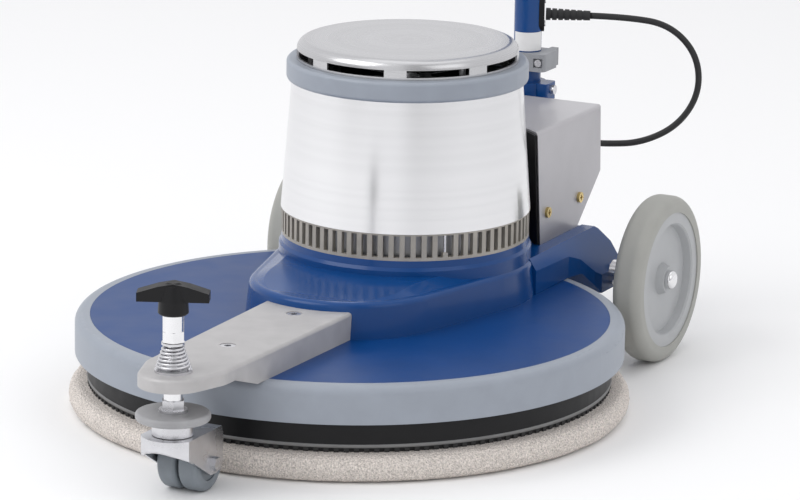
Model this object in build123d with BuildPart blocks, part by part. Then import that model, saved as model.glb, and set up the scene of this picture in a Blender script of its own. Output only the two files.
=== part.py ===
from build123d import *

import math
import os

# A high-speed single-disc floor machine. Millimetres, +Z up. The origin is on the floor on
# the axis of the polishing disc; the front caster is at -Y and the handle is at +Y.

os.makedirs("parts", exist_ok=True)

# ---------------------------------------------------------------- clearances
RUN = 0.05  # radial play of a shaft that turns in its bore
SEAT = 0.15  # radial play of a cover that is pushed on
MOVE = 0.5  # gap between faces that move past each other

# ---------------------------------------------------------------- disc and pad
PAD_R = 254.0  # a 20 inch pad
PAD_T = 25.0
PAD_EDGE = 11.0  # rounding of the pad's edge
GRIP_T = 3.0  # hook facing under the driver
DRIVER_R = 236.5
DRIVER_H = 22.0
DRIVER_PLATE_T = 8.0
DRIVER_RIM_T = 9.0
DRIVER_HUB_R = 46.0
SPINDLE_R = 15.0
SPINDLE_NECK_R = 12.5
SPINDLE_FLANGE_R = 38.0
SPINDLE_FLANGE_T = 5.0
DISC_PULLEY_R = 60.0
MOTOR_PULLEY_R = 42.0
PULLEY_W = 22.0
BELT_W = 18.0
BELT_T = 3.5
BELT_GAP = 0.4

GRIP_Z = PAD_T
DRIVER_Z = GRIP_Z + GRIP_T
DRIVER_TOP_Z = DRIVER_Z + DRIVER_H
PULLEY_Z = DRIVER_TOP_Z + SPINDLE_FLANGE_T + 2.0
PULLEY_TOP_Z = PULLEY_Z + PULLEY_W

# ---------------------------------------------------------------- deck and bumper
DECK_TOP_Z = 85.5
DECK_T = 4.0
DECK_TOP_R = 234.0  # edge of the painted top
DECK_R = 240.0
DECK_SKIRT_T = 3.0
BUMPER_R = 247.7
BUMPER_Z = 52.0
BUMPER_ROUND = 8.0
DECK_OPENING_MARGIN = 4.0

# ---------------------------------------------------------------- motor
MOTOR_Y = 109.2  # motor axis behind the disc axis
GRILLE_Z = 137.7
GRILLE_R = 113.6
GRILLE_H = 24.6
GRILLE_T = 5.0
GRILLE_SLOTS = 72
GRILLE_SLOT_W = 5.3
GRILLE_SLOT_H = 20.0
GRILLE_WINDOW_AT = -45.0  # degrees from +X, seen from above
SLEEVE_BOTTOM_R = 114.5
SLEEVE_TOP_R = 105.5
SLEEVE_T = 1.5
RING_Z = 281.0
RING_R = 110.4
RING_H = 19.0
CAP_R = 101.2
CAP_Z = 284.0
CAP_TOP_Z = 317.6
CAP_T = 2.0
CAP_ROUND = 9.0
CAP_SLOTS = 8
CAP_SLOT_SPAN = 33.5  # degrees
CAP_SLOT_Z = 302.5
CAP_SLOT_H = 6.5
CAP_SLOT_AT = -92.5
SHAFT_R = 12.0
FRAME_R = 103.0
FRAME_T = 5.0
FRAME_TOP_Z = 262.0
STATOR_R = 62.0
STATOR_Z = 172.0
STATOR_H = 66.0
AIR_GAP = 0.6
BEARING_R = 26.0
BEARING_W = 12.0
FAN_R = 82.0
FAN_H = 18.0
FAN_BLADES = 11
POST_R = 3.0
POST_PITCH_R = 88.0

SLEEVE_Z = GRILLE_Z + GRILLE_H

# ---------------------------------------------------------------- main casting
NOSE_R = 94.5
BODY_R = 121.5
WALL_TOP_Z = 118.0
WALL_DRAFT = 6.0  # degrees
CAST_T = 8.0
CREST_ROUND = 5.5
SHOULDER_TOP_Z = 124.0
SHOULDER_SLOPE = 68.0  # degrees from upright
NECK_R = 116.0
NECK_Z = 127.0
PLATFORM_HALF = 98.0
PLATFORM_Z = 102.0
PLATFORM_TOP_Z = 113.5
PLATFORM_REAR_Y = 300.0
BOSS_R = 36.0
LUG_FACE_X = 136.0
LUG_BOTTOM_Z = 64.0

# ---------------------------------------------------------------- rear wheels
AXLE_Y = 278.0
AXLE_Z = 78.5
AXLE_R = 8.0
WHEEL_R = 78.5
WHEEL_FACE_X = 195.0
TYRE_W = 28.0
TYRE_ROUND = 9.0
RIM_R = 63.4
RIM_LIP_R = 52.0
RIM_FACE_INSET = 1.2
HUB_R = 12.0
HUB_INNER_X = 158.5
AXLE_COLLAR_R = 12.0
AXLE_CAP_R = 9.0
AXLE_CAP_H = 6.5
AXLE_CAP_ROUND = 4.5

# ---------------------------------------------------------------- front arm
ARM_TOP_Z = 110.0
ARM_END_Y = -326.0  # spindle of the caster
ARM_END_R = 30.0
ARM_END_Z = 98.0
ARM_REAR_Y = -84.0
ARM_HALF_W = 43.0
ARM_SHOULDER_X = 16.5
ARM_SHOULDER_Y = -302.0
ARM_SHOULDER_R = 22.0
ARM_STEP_Y = -250.0
ARM_THIN_Y = -288.0
ARM_SCREW_YS = (-109.3, -230.6)
ARM_SCREW_HEAD_R = 7.0
ARM_SCREW_R = 3.2

# ---------------------------------------------------------------- caster
SCREW_R = 8.0
SCREW_NECK_R = 5.8
WASHER_R = 16.0
WASHER_T = 2.0
SPRING_TOP_Z = 133.5
SPRING_WIRE_R = 1.2
SPRING_BOTTOM_R = 14.3
SPRING_TOP_R = 8.2
SPRING_TURNS = 6.5
SPRING_SEAT_T = 2.0
HEX_AF = 17.5
HEX_TOP_Z = 145.0
SLEEVE_R = 9.0
KNOB_Z = 159.5
KNOB_STEM_R = 13.0
KNOB_ARM_Z = 171.5
KNOB_TOP_Z = 187.0
KNOB_HALF_L = 30.5
KNOB_HALF_T = 8.0
KNOB_TURN = 24.0  # degrees, as the knob happens to stand
NUT_TOP_Z = 85.5
NUT_H = 8.0
NUT_AF = 18.0
NUT_WASHER_R = 12.2
DISC_TOP_Z = 75.0
DISC_T = 7.2
DISC_R = 32.0
HEAD_R = 18.0
HEAD_Z = 55.5
CASTER_TRAIL = 29.0
CASTER_WHEEL_R = 25.0
CASTER_WHEEL_W = 18.0
CASTER_WHEEL_GAP = 1.2  # from the middle to each wheel
CASTER_HUB_R = 15.5
CASTER_AXLE_R = 4.0
FORK_T = 2.5
FORK_HALF_W = 23.2
FORK_PLATE_R = 27.0

# ---------------------------------------------------------------- electrics cover
COVER_HALF_W = 90.0
COVER_T = 2.0
COVER_Z = 114.0
COVER_TOP_Z = 222.0
COVER_REAR_Y = 346.0
COVER_CHIN_Y = 299.0  # where the rear slope meets the platform
COVER_CHIN_Z = 157.0
COVER_FRONT_R = 128.0  # arc about the motor axis
COVER_BEND = 9.0
SEAL_T = 4.0
SEAL_GAP = 1.0
COVER_SCREW_R = 5.0

# ---------------------------------------------------------------- handle
TUBE_Y = 369.0
TUBE_R = 13.3
TUBE_T = 2.0
TUBE_BOTTOM_Z = 150.0
TUBE_TOP_Z = 1085.0
HINGE_Z = 100.0
HINGE_BOSS_R = 16.0
HINGE_PIN_R = 6.0
HINGE_LUG_HALF = 13.0
SOCKET_R = 18.5
SOCKET_Z = 134.0
COLLAR_Z = 215.0
COLLAR_TOP_Z = 232.0
CHEEK_T = 7.0
HOOK_HALF_W = 25.0
HOOK_FRONT_Y = 352.0
HOOK_REAR_Y = 395.0
HOOK_Z = 244.5
HOOK_TOP_Z = 263.0
LABEL_Z = 262.8
LABEL_H = 18.0
LABEL_T = 0.3
LABEL_SPAN = 134.0
LABEL_AT = -61.0
SIDE_TURN = 26.3  # degrees from +X that the tube's cord outlet faces
OUTLET_Z = 299.0
OUTLET_FACE = 15.4  # from the tube's axis
OUTLET_HALF_H = 19.0
OUTLET_HALF_W = 8.8
RELIEF_R = 6.0
RELIEF_TIP_R = 4.6
RELIEF_L = 44.0

# ---------------------------------------------------------------- handle head
HEAD_TOP_Z = 1160.0
HEAD_BOTTOM_Z = 1075.0
HEAD_HALF_W = 68.0
HEAD_HALF_D = 30.0
GRIP_R = 16.0
BAR_R = 11.0
BAR_Z = 1132.0
BAR_END_X = 205.0
GRIP_START_X = 92.0
LEVER_Z = 1092.0
LEVER_T = 6.0
LEVER_PIVOT_X = 76.0
LEVER_END_X = 190.0
LEVER_PIN_R = 3.0
BUTTON_R = 9.0
BUTTON_TRAVEL = 4.0
UPPER_HOOK_Z = 930.0
MAINS_BORE_R = 4.5

# ---------------------------------------------------------------- link cord
CORD_D = 6.2
BOX_GLAND_X = 56.0
BOX_GLAND_Z = 175.0

MOTOR_AXIS = Axis((0, MOTOR_Y, 0), (0, 0, 1))
CASTER_AXIS = Axis((0, ARM_END_Y, 0), (0, 0, 1))
CASTER_Y = ARM_END_Y + CASTER_TRAIL
FORK_AXIS = Axis((0, CASTER_Y, CASTER_WHEEL_R), (1, 0, 0))
WHEEL_AXIS = Axis((0, AXLE_Y, AXLE_Z), (1, 0, 0))
HINGE_AXIS = Axis((0, TUBE_Y, HINGE_Z), (1, 0, 0))


def save(piece, node):
    """Name a finished piece and write it as the STEP file of its node."""
    piece.part.label = node
    export_step(piece.part, f"parts/{node}.step")


def turned_plane(y):
    """Upright sketch plane for a profile turned about the vertical axis at (0, y)."""
    return Plane(origin=(0, y, 0), x_dir=(1, 0, 0), z_dir=(0, -1, 0))


def wheel_plane(side, y, z):
    """Sketch plane whose x runs outwards along the axle and whose y is the radius."""
    return Plane(origin=(0, y, z), x_dir=(side, 0, 0), z_dir=(0, -side, 0))


# ================================================================ disc
with BuildPart() as polishing_pad:
    with BuildSketch(turned_plane(0)):
        with Locations((PAD_R / 2, PAD_T / 2)):
            pad_section = Rectangle(PAD_R, PAD_T)
        fillet(pad_section.vertices().group_by(Axis.X)[-1], PAD_EDGE)
    revolve(axis=Axis.Z)
save(polishing_pad, "polishing_pad")

with BuildPart() as grip_facing:
    with BuildSketch(Plane.XY.offset(GRIP_Z)):
        Circle(DRIVER_R - 1.0)
        Circle(DRIVER_HUB_R, mode=Mode.SUBTRACT)
    extrude(amount=GRIP_T)
save(grip_facing, "grip_facing")

with BuildPart() as pad_driver:
    with BuildSketch(Plane.XY.offset(DRIVER_Z)):
        Circle(DRIVER_R)
    extrude(amount=DRIVER_PLATE_T)
    with BuildSketch(Plane.XY.offset(DRIVER_Z)):
        Circle(DRIVER_R)
        Circle(DRIVER_R - DRIVER_RIM_T, mode=Mode.SUBTRACT)
    extrude(amount=DRIVER_H)
    with BuildSketch(Plane.XY.offset(DRIVER_Z)):
        Circle(DRIVER_HUB_R)
    extrude(amount=DRIVER_H)
    with BuildSketch(Plane.XY.offset(DRIVER_Z + DRIVER_PLATE_T)):
        with PolarLocations((DRIVER_HUB_R + DRIVER_R - DRIVER_RIM_T) / 2, 12):
            Rectangle(DRIVER_R - DRIVER_RIM_T - DRIVER_HUB_R + 4, 5)
    extrude(amount=DRIVER_H - DRIVER_PLATE_T - 4)
    with BuildSketch(Plane.XY.offset(DRIVER_Z)):
        Circle(SPINDLE_R)
    extrude(amount=DRIVER_H, mode=Mode.SUBTRACT)
save(pad_driver, "pad_driver")

BEARING_LOW_Z = DECK_TOP_Z + 1.5
BEARING_HIGH_Z = BEARING_LOW_Z + BEARING_W + 4.0
SPINDLE_TOP_Z = BEARING_HIGH_Z + BEARING_W

with BuildPart() as disc_spindle:
    with BuildSketch(turned_plane(0)):
        with BuildLine():
            Polyline(
                (0, DRIVER_Z),
                (SPINDLE_R, DRIVER_Z),
                (SPINDLE_R, DRIVER_TOP_Z),
                (SPINDLE_FLANGE_R, DRIVER_TOP_Z),
                (SPINDLE_FLANGE_R, DRIVER_TOP_Z + SPINDLE_FLANGE_T),
                (SPINDLE_R, DRIVER_TOP_Z + SPINDLE_FLANGE_T),
                (SPINDLE_R, PULLEY_TOP_Z + 1),
                (SPINDLE_NECK_R, PULLEY_TOP_Z + 1),
                (SPINDLE_NECK_R, SPINDLE_TOP_Z),
                (0, SPINDLE_TOP_Z),
                close=True,
            )
        make_face()
    revolve(axis=Axis.Z)
save(disc_spindle, "disc_spindle")


def pulley(radius, bore, y):
    """Ribbed belt pulley with a web, turned about the vertical axis at (0, y)."""
    with BuildPart() as wheel:
        with BuildSketch(turned_plane(y)):
            with Locations(((radius + bore) / 2, PULLEY_Z + PULLEY_W / 2)):
                Rectangle(radius - bore, PULLEY_W)
            with Locations(((radius + bore) / 2 + 2, PULLEY_Z)):
                Rectangle(radius - bore - 18, PULLEY_W * 0.6, mode=Mode.SUBTRACT)
            for rib in range(5):
                with Locations((radius, PULLEY_Z + 4 + rib * (PULLEY_W - 8) / 4)):
                    Circle(1.0, mode=Mode.SUBTRACT)
        revolve(axis=Axis((0, y, 0), (0, 0, 1)))
    return wheel


disc_pulley = pulley(DISC_PULLEY_R, SPINDLE_R, 0)
save(disc_pulley, "disc_pulley")

motor_pulley = pulley(MOTOR_PULLEY_R, SHAFT_R, MOTOR_Y)
save(motor_pulley, "motor_pulley")

with BuildPart() as drive_belt:
    with BuildSketch(Plane.XY.offset(PULLEY_Z + (PULLEY_W - BELT_W) / 2)):
        Circle(DISC_PULLEY_R + BELT_GAP + BELT_T)
        with Locations((0, MOTOR_Y)):
            Circle(MOTOR_PULLEY_R + BELT_GAP + BELT_T)
        make_hull()
    extrude(amount=BELT_W)
    with BuildSketch(Plane.XY.offset(PULLEY_Z)):
        Circle(DISC_PULLEY_R + BELT_GAP)
        with Locations((0, MOTOR_Y)):
            Circle(MOTOR_PULLEY_R + BELT_GAP)
        make_hull()
    extrude(amount=PULLEY_W, mode=Mode.SUBTRACT)
save(drive_belt, "drive_belt")

# ================================================================ deck
with BuildPart() as deck_shell:
    with BuildSketch(turned_plane(0)):
        with BuildLine():
            Polyline(
                (0, DECK_TOP_Z - DECK_T),
                (DECK_R - DECK_SKIRT_T, DECK_TOP_Z - DECK_T),
                (DECK_R - DECK_SKIRT_T, BUMPER_Z + 1),
                (DECK_R, BUMPER_Z + 1),
                (DECK_R, DECK_TOP_Z - DECK_T),
                (DECK_TOP_R, DECK_TOP_Z - DECK_T + 0.5),
                (DECK_TOP_R, DECK_TOP_Z),
                (0, DECK_TOP_Z),
                close=True,
            )
        make_face()
    revolve(axis=Axis.Z)
    with BuildSketch(Plane.XY.offset(DECK_TOP_Z - DECK_T)):
        Circle(DISC_PULLEY_R + BELT_T + DECK_OPENING_MARGIN)
        with Locations((0, MOTOR_Y)):
            Circle(MOTOR_PULLEY_R + BELT_T + DECK_OPENING_MARGIN)
        make_hull()
    extrude(amount=DECK_T, mode=Mode.SUBTRACT)
    with Locations(*[(0, y, DECK_TOP_Z) for y in ARM_SCREW_YS]):
        Hole(ARM_SCREW_R, depth=DECK_T)
save(deck_shell, "deck_shell")

with BuildPart() as deck_bumper:
    with BuildSketch(turned_plane(0)):
        with BuildLine():
            Polyline(
                (DECK_R + SEAT, BUMPER_Z),
                (BUMPER_R, BUMPER_Z),
                (BUMPER_R, DECK_TOP_Z),
                (DECK_TOP_R + SEAT, DECK_TOP_Z),
                (DECK_TOP_R + SEAT, DECK_TOP_Z - DECK_T + 1),
                (DECK_R + SEAT, DECK_TOP_Z - DECK_T + 1),
                close=True,
            )
        bumper_section = make_face()
        outer = bumper_section.vertices().group_by(Axis.X)[-1].sort_by(Axis.Z)
        fillet(outer[-1], BUMPER_ROUND)
        fillet(outer[0], 1.5)
    revolve(axis=Axis.Z)
save(deck_bumper, "deck_bumper")

# ================================================================ main casting
ARM_INNER_X = 95.0
ARM_FRONT_Y = 140.0
ARM_CREST_Z = WALL_TOP_Z + 0.6
# section across a side arm: x outwards, z
ARM_SECTION = (
    (ARM_INNER_X, LUG_BOTTOM_Z),
    (ARM_INNER_X, ARM_CREST_Z - 5),
    (ARM_INNER_X + 4, ARM_CREST_Z),
    (112.0, ARM_CREST_Z),
    (LUG_FACE_X, 82.0),
    (LUG_FACE_X, LUG_BOTTOM_Z),
)
# what is cut away outside the arm, in plan, and under it, from the side
ARM_PLAN_CUT = (
    (119.0, ARM_FRONT_Y - 2),
    (LUG_FACE_X + 2, ARM_FRONT_Y - 2),
    (LUG_FACE_X + 2, 253.0),
    (LUG_FACE_X, 251.0),
    (LUG_FACE_X - 3, 242.0),
    (124.0, 228.0),
    (120.0, 210.0),
)
ARM_REAR_CUT = (
    (PLATFORM_REAR_Y - 18, ARM_CREST_Z + 2),
    (PLATFORM_REAR_Y - 10, ARM_CREST_Z - 3),
    (PLATFORM_REAR_Y, ARM_CREST_Z - 16),
    (PLATFORM_REAR_Y + 2, ARM_CREST_Z - 16),
    (PLATFORM_REAR_Y + 2, ARM_CREST_Z + 2),
)
ARM_SIDE_CUT = (
    (ARM_FRONT_Y - 2, LUG_BOTTOM_Z - 4),
    (ARM_FRONT_Y - 2, DECK_TOP_Z),
    (219.0, DECK_TOP_Z + 0.6),
    (230.0, DECK_TOP_Z + 0.6),
    (243.0, 72.0),
    (252.0, LUG_BOTTOM_Z - 0.5),
    (252.0, LUG_BOTTOM_Z - 4),
)

with BuildPart() as main_casting:
    # shoulder that rises from the crest to the motor's neck
    with BuildSketch(Plane.XY.offset(WALL_TOP_Z - 1)):
        Circle(NOSE_R - CREST_ROUND - 2)
        with Locations((0, MOTOR_Y)):
            Circle(BODY_R - CREST_ROUND - 3)
        make_hull()
    extrude(amount=SHOULDER_TOP_Z - WALL_TOP_Z + 3, taper=SHOULDER_SLOPE)
    with BuildSketch(Plane.YZ.offset(-BODY_R - 10)):
        with BuildLine():
            shoulder_line = Spline(
                (-NOSE_R, WALL_TOP_Z - 1),
                (-NOSE_R * 0.62, WALL_TOP_Z + 1.2),
                (-NOSE_R * 0.3, WALL_TOP_Z + 4.4),
                (0, SHOULDER_TOP_Z),
                tangents=((1, 0.03), (1, 0)),
            )
            Polyline(
                shoulder_line @ 1,
                (2 * BODY_R, SHOULDER_TOP_Z),
                (2 * BODY_R, WALL_TOP_Z - 10),
                (-NOSE_R, WALL_TOP_Z - 10),
                shoulder_line @ 0,
            )
        make_face()
    extrude(amount=2 * BODY_R + 20, mode=Mode.INTERSECT)
    # nose and body walls
    with BuildSketch(Plane.XY.offset(DECK_TOP_Z)):
        Circle(NOSE_R)
        with Locations((0, MOTOR_Y)):
            Circle(BODY_R)
        make_hull()
    extrude(amount=WALL_TOP_Z - DECK_TOP_Z, taper=WALL_DRAFT)
    crest = main_casting.edges().filter_by_position(Axis.Z, WALL_TOP_Z - 0.1, WALL_TOP_Z + 0.1)
    outer_reach = NOSE_R - 5
    crest_edges = crest.filter_by(
        lambda e: min(math.hypot(v.X, v.Y) for v in e.vertices()) > outer_reach
        or abs(e.center().Y + NOSE_R - 3.4) < 1.5
    )
    fillet(crest_edges, CREST_ROUND)
    # stepped neck under the motor
    with BuildSketch(turned_plane(MOTOR_Y)):
        with BuildLine():
            Polyline(
                (0, WALL_TOP_Z - 6),
                (NECK_R, WALL_TOP_Z - 6),
                (NECK_R, NECK_Z + 1.5),
                (GRILLE_R + 0.6, NECK_Z + 4.5),
                (GRILLE_R, GRILLE_Z),
                (0, GRILLE_Z),
                close=True,
            )
        make_face()
    revolve(axis=MOTOR_AXIS)
    # rear platform under the electrics and the lug of the handle hinge
    with BuildSketch(Plane.XY.offset(PLATFORM_Z)):
        with Locations((0, (MOTOR_Y + PLATFORM_REAR_Y) / 2)):
            Rectangle(2 * PLATFORM_HALF, PLATFORM_REAR_Y - MOTOR_Y)
    extrude(amount=PLATFORM_TOP_Z - PLATFORM_Z)
    with BuildSketch(Plane.YZ.offset(-HINGE_LUG_HALF)):
        with BuildLine():
            Polyline(
                (BODY_R + MOTOR_Y - 10, PLATFORM_Z + 4),
                (BODY_R + MOTOR_Y - 10, HINGE_Z - 12),
                (TUBE_Y, HINGE_Z - HINGE_BOSS_R),
                (TUBE_Y, HINGE_Z + HINGE_BOSS_R - 3),
                (PLATFORM_REAR_Y, PLATFORM_TOP_Z),
                (PLATFORM_REAR_Y - 10, PLATFORM_Z + 4),
                close=True,
            )
        make_face()
        with Locations((TUBE_Y, HINGE_Z)):
            Circle(HINGE_BOSS_R)
    extrude(amount=2 * HINGE_LUG_HALF)
    # side arms that carry the axle
    for side in (1, -1):
        with BuildSketch(Plane.XZ.offset(-PLATFORM_REAR_Y)):
            with BuildLine():
                Polyline(*[(side * x, z) for x, z in ARM_SECTION], close=True)
            make_face()
        extrude(amount=PLATFORM_REAR_Y - ARM_FRONT_Y)
        with BuildSketch(Plane.XY.offset(LUG_BOTTOM_Z - 5)):
            with BuildLine():
                Polyline(*[(side * x, y) for x, y in ARM_PLAN_CUT], close=True)
            make_face()
        extrude(amount=WALL_TOP_Z - LUG_BOTTOM_Z + 10, mode=Mode.SUBTRACT)
        with BuildSketch(Plane.YZ.offset(side * (ARM_INNER_X - 1))):
            with BuildLine():
                Polyline(*ARM_SIDE_CUT, close=True)
            make_face()
            with BuildLine():
                Polyline(*ARM_REAR_CUT, close=True)
            make_face()
        extrude(amount=side * (LUG_FACE_X - ARM_INNER_X + 2), mode=Mode.SUBTRACT)
    # hollow under the shoulder, with the boss of the disc bearings
    with BuildSketch(Plane.XY.offset(DECK_TOP_Z)):
        Circle(NOSE_R - CAST_T)
        with Locations((0, MOTOR_Y)):
            Circle(BODY_R - CAST_T)
        make_hull()
        Circle(BOSS_R, mode=Mode.SUBTRACT)
    extrude(amount=WALL_TOP_Z - CAST_T - DECK_TOP_Z, mode=Mode.SUBTRACT)
    with Locations((0, 0, DECK_TOP_Z)):
        Cylinder(
            BEARING_R,
            SPINDLE_TOP_Z + 1 - DECK_TOP_Z,
            align=(Align.CENTER, Align.CENTER, Align.MIN),
            mode=Mode.SUBTRACT,
        )
    with BuildSketch(Plane.XY.offset(WALL_TOP_Z - CAST_T)):
        with Locations((0, MOTOR_Y)):
            Circle(MOTOR_Y - BOSS_R - 3)
    extrude(amount=NECK_Z - WALL_TOP_Z + CAST_T, mode=Mode.SUBTRACT)
    # opening for the motor's lower end
    with BuildSketch(Plane.XY.offset(DECK_TOP_Z)):
        with Locations((0, MOTOR_Y)):
            Circle(MOTOR_PULLEY_R + BELT_T + DECK_OPENING_MARGIN)
    extrude(amount=GRILLE_Z - DECK_TOP_Z, mode=Mode.SUBTRACT)
    # bores of the axle and of the hinge pin
    with BuildSketch(Plane.YZ.offset(-LUG_FACE_X)):
        with Locations((AXLE_Y, AXLE_Z)):
            Circle(AXLE_R)
    extrude(amount=2 * LUG_FACE_X, mode=Mode.SUBTRACT)
    with BuildSketch(Plane.YZ.offset(-HINGE_LUG_HALF)):
        with Locations((TUBE_Y, HINGE_Z)):
            Circle(HINGE_PIN_R)
    extrude(amount=2 * HINGE_LUG_HALF, mode=Mode.SUBTRACT)
save(main_casting, "main_casting")

# ================================================================ motor
GRILLE_SLOT_Z = GRILLE_Z + 2.8

with BuildPart() as motor_grille:
    with BuildSketch(Plane.XY.offset(GRILLE_Z)):
        with Locations((0, MOTOR_Y)):
            Circle(GRILLE_R)
            Circle(GRILLE_R - GRILLE_T, mode=Mode.SUBTRACT)
    extrude(amount=GRILLE_H)
    with BuildSketch(Plane.XY.offset(GRILLE_SLOT_Z)):
        with Locations((0, MOTOR_Y)):
            with PolarLocations(GRILLE_R - GRILLE_T / 2, GRILLE_SLOTS, start_angle=2.5):
                Rectangle(GRILLE_T * 3, GRILLE_SLOT_W)
    extrude(amount=GRILLE_SLOT_H, mode=Mode.SUBTRACT)
    # one wider window, with the bar between two slots left out
    with BuildSketch(Plane.XY.offset(GRILLE_SLOT_Z + 4)):
        with Locations((0, MOTOR_Y)):
            with PolarLocations(GRILLE_R - GRILLE_T / 2, 1, start_angle=GRILLE_WINDOW_AT):
                Rectangle(GRILLE_T * 3, 2 * GRILLE_SLOT_W + 3)
    extrude(amount=GRILLE_SLOT_H - 4, mode=Mode.SUBTRACT)
save(motor_grille, "motor_grille")

with BuildPart() as motor_sleeve:
    with BuildSketch(turned_plane(MOTOR_Y)):
        with BuildLine():
            Polyline(
                (SLEEVE_BOTTOM_R, SLEEVE_Z),
                (SLEEVE_TOP_R, RING_Z),
                (SLEEVE_TOP_R - SLEEVE_T, RING_Z),
                (SLEEVE_BOTTOM_R - SLEEVE_T, SLEEVE_Z),
                close=True,
            )
        make_face()
    revolve(axis=MOTOR_AXIS)
save(motor_sleeve, "motor_sleeve")

with BuildPart() as motor_bumper:
    with BuildSketch(turned_plane(MOTOR_Y)):
        ring_in = CAP_R + SEAT
        with Locations(((ring_in + RING_R) / 2, RING_Z + RING_H / 2)):
            ring_section = Rectangle(RING_R - ring_in, RING_H)
        fillet(ring_section.vertices().group_by(Axis.X)[-1], 3.5)
    revolve(axis=MOTOR_AXIS)
save(motor_bumper, "motor_bumper")

with BuildPart() as motor_cap:
    with BuildSketch(turned_plane(MOTOR_Y)):
        with Locations((CAP_R / 2, (CAP_Z + CAP_TOP_Z) / 2)):
            cap_block = Rectangle(CAP_R, CAP_TOP_Z - CAP_Z)
        fillet(cap_block.vertices().group_by(Axis.X)[-1].sort_by(Axis.Z)[-1], CAP_ROUND)
    revolve(axis=MOTOR_AXIS)
    offset(amount=-CAP_T, openings=motor_cap.faces().sort_by(Axis.Z)[0])
    # one vent slot, repeated round the side
    with BuildSketch(Plane.XY.offset(CAP_SLOT_Z)):
        with Locations((0, MOTOR_Y)):
            for slot in range(CAP_SLOTS):
                start = CAP_SLOT_AT + 360.0 / CAP_SLOTS * slot - CAP_SLOT_SPAN / 2
                with BuildLine():
                    inner = CenterArc((0, MOTOR_Y), CAP_R - 4, start, CAP_SLOT_SPAN)
                    outer_arc = CenterArc((0, MOTOR_Y), CAP_R + 4, start, CAP_SLOT_SPAN)
                    Line(inner @ 0, outer_arc @ 0)
                    Line(inner @ 1, outer_arc @ 1)
                make_face()
    extrude(amount=CAP_SLOT_H, mode=Mode.SUBTRACT)
save(motor_cap, "motor_cap")

SHIELD_LOW_Z = GRILLE_Z
BEARING_MOTOR_LOW_Z = GRILLE_Z + 2.0
BEARING_MOTOR_HIGH_Z = FRAME_TOP_Z - 12.0

with BuildPart() as motor_frame:
    # stator shell
    with BuildSketch(Plane.XY.offset(GRILLE_Z)):
        with Locations((0, MOTOR_Y)):
            Circle(FRAME_R)
            Circle(FRAME_R - FRAME_T, mode=Mode.SUBTRACT)
    extrude(amount=FRAME_TOP_Z - GRILLE_Z)
    # lower end shield with its bearing seat
    with BuildSketch(turned_plane(MOTOR_Y)):
        with BuildLine():
            Polyline(
                (SHAFT_R + 2, GRILLE_Z),
                (FRAME_R - FRAME_T, GRILLE_Z),
                (FRAME_R - FRAME_T, GRILLE_Z + 5),
                (BEARING_R + 7, GRILLE_Z + 5),
                (BEARING_R + 7, GRILLE_Z + 14),
                (BEARING_R, GRILLE_Z + 14),
                (BEARING_R, BEARING_MOTOR_LOW_Z),
                (SHAFT_R + 2, BEARING_MOTOR_LOW_Z),
                close=True,
            )
        make_face()
    revolve(axis=MOTOR_AXIS)
    # upper end shield
    with BuildSketch(turned_plane(MOTOR_Y)):
        with BuildLine():
            Polyline(
                (BEARING_R, FRAME_TOP_Z - 12),
                (BEARING_R + 7, FRAME_TOP_Z - 12),
                (BEARING_R + 7, FRAME_TOP_Z - 5),
                (FRAME_R - FRAME_T, FRAME_TOP_Z - 5),
                (FRAME_R - FRAME_T, FRAME_TOP_Z),
                (BEARING_R, FRAME_TOP_Z),
                close=True,
            )
        make_face()
    revolve(axis=MOTOR_AXIS)
    # posts that carry the cap
    with BuildSketch(Plane.XY.offset(FRAME_TOP_Z - 1)):
        with Locations((0, MOTOR_Y)):
            with PolarLocations(POST_PITCH_R, 3, start_angle=90):
                Circle(POST_R)
    extrude(amount=CAP_TOP_Z - CAP_T - FRAME_TOP_Z + 1)
save(motor_frame, "motor_frame")

with BuildPart() as motor_stator:
    # laminated core, then the two winding heads
    with BuildSketch(Plane.XY.offset(STATOR_Z)):
        with Locations((0, MOTOR_Y)):
            Circle(FRAME_R - FRAME_T)
            Circle(STATOR_R, mode=Mode.SUBTRACT)
    extrude(amount=STATOR_H)
    for middle in (STATOR_Z - 6.5, STATOR_Z + STATOR_H + 6.5):
        with BuildSketch(turned_plane(MOTOR_Y)):
            with Locations((STATOR_R + 17, middle)):
                Ellipse(12, 7.4)
        revolve(axis=MOTOR_AXIS)
save(motor_stator, "motor_stator")

with BuildPart() as ball_bearings:
    for axis_y, bore, low in (
        (0, SPINDLE_NECK_R, BEARING_LOW_Z),
        (0, SPINDLE_NECK_R, BEARING_HIGH_Z),
        (MOTOR_Y, SHAFT_R, BEARING_MOTOR_LOW_Z),
        (MOTOR_Y, SHAFT_R, BEARING_MOTOR_HIGH_Z),
    ):
        with BuildSketch(turned_plane(axis_y)):
            with Locations(((bore + RUN + BEARING_R) / 2, low + BEARING_W / 2)):
                bearing_section = Rectangle(BEARING_R - bore - RUN, BEARING_W)
            with Locations(
                ((bore + BEARING_R) / 2, low),
                ((bore + BEARING_R) / 2, low + BEARING_W),
            ):
                Rectangle(5, 2, mode=Mode.SUBTRACT)
        revolve(axis=Axis((0, axis_y, 0), (0, 0, 1)))
save(ball_bearings, "ball_bearings")

SHAFT_TOP_Z = FRAME_TOP_Z + 5 + FAN_H
FAN_Z = FRAME_TOP_Z + 4

with BuildPart() as motor_shaft:
    with Locations((0, MOTOR_Y, PULLEY_Z - 1)):
        Cylinder(SHAFT_R, SHAFT_TOP_Z - PULLEY_Z, align=(Align.CENTER, Align.CENTER, Align.MIN))
    chamfer(motor_shaft.edges().filter_by(GeomType.CIRCLE), 1.0)
save(motor_shaft, "motor_shaft")

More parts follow.
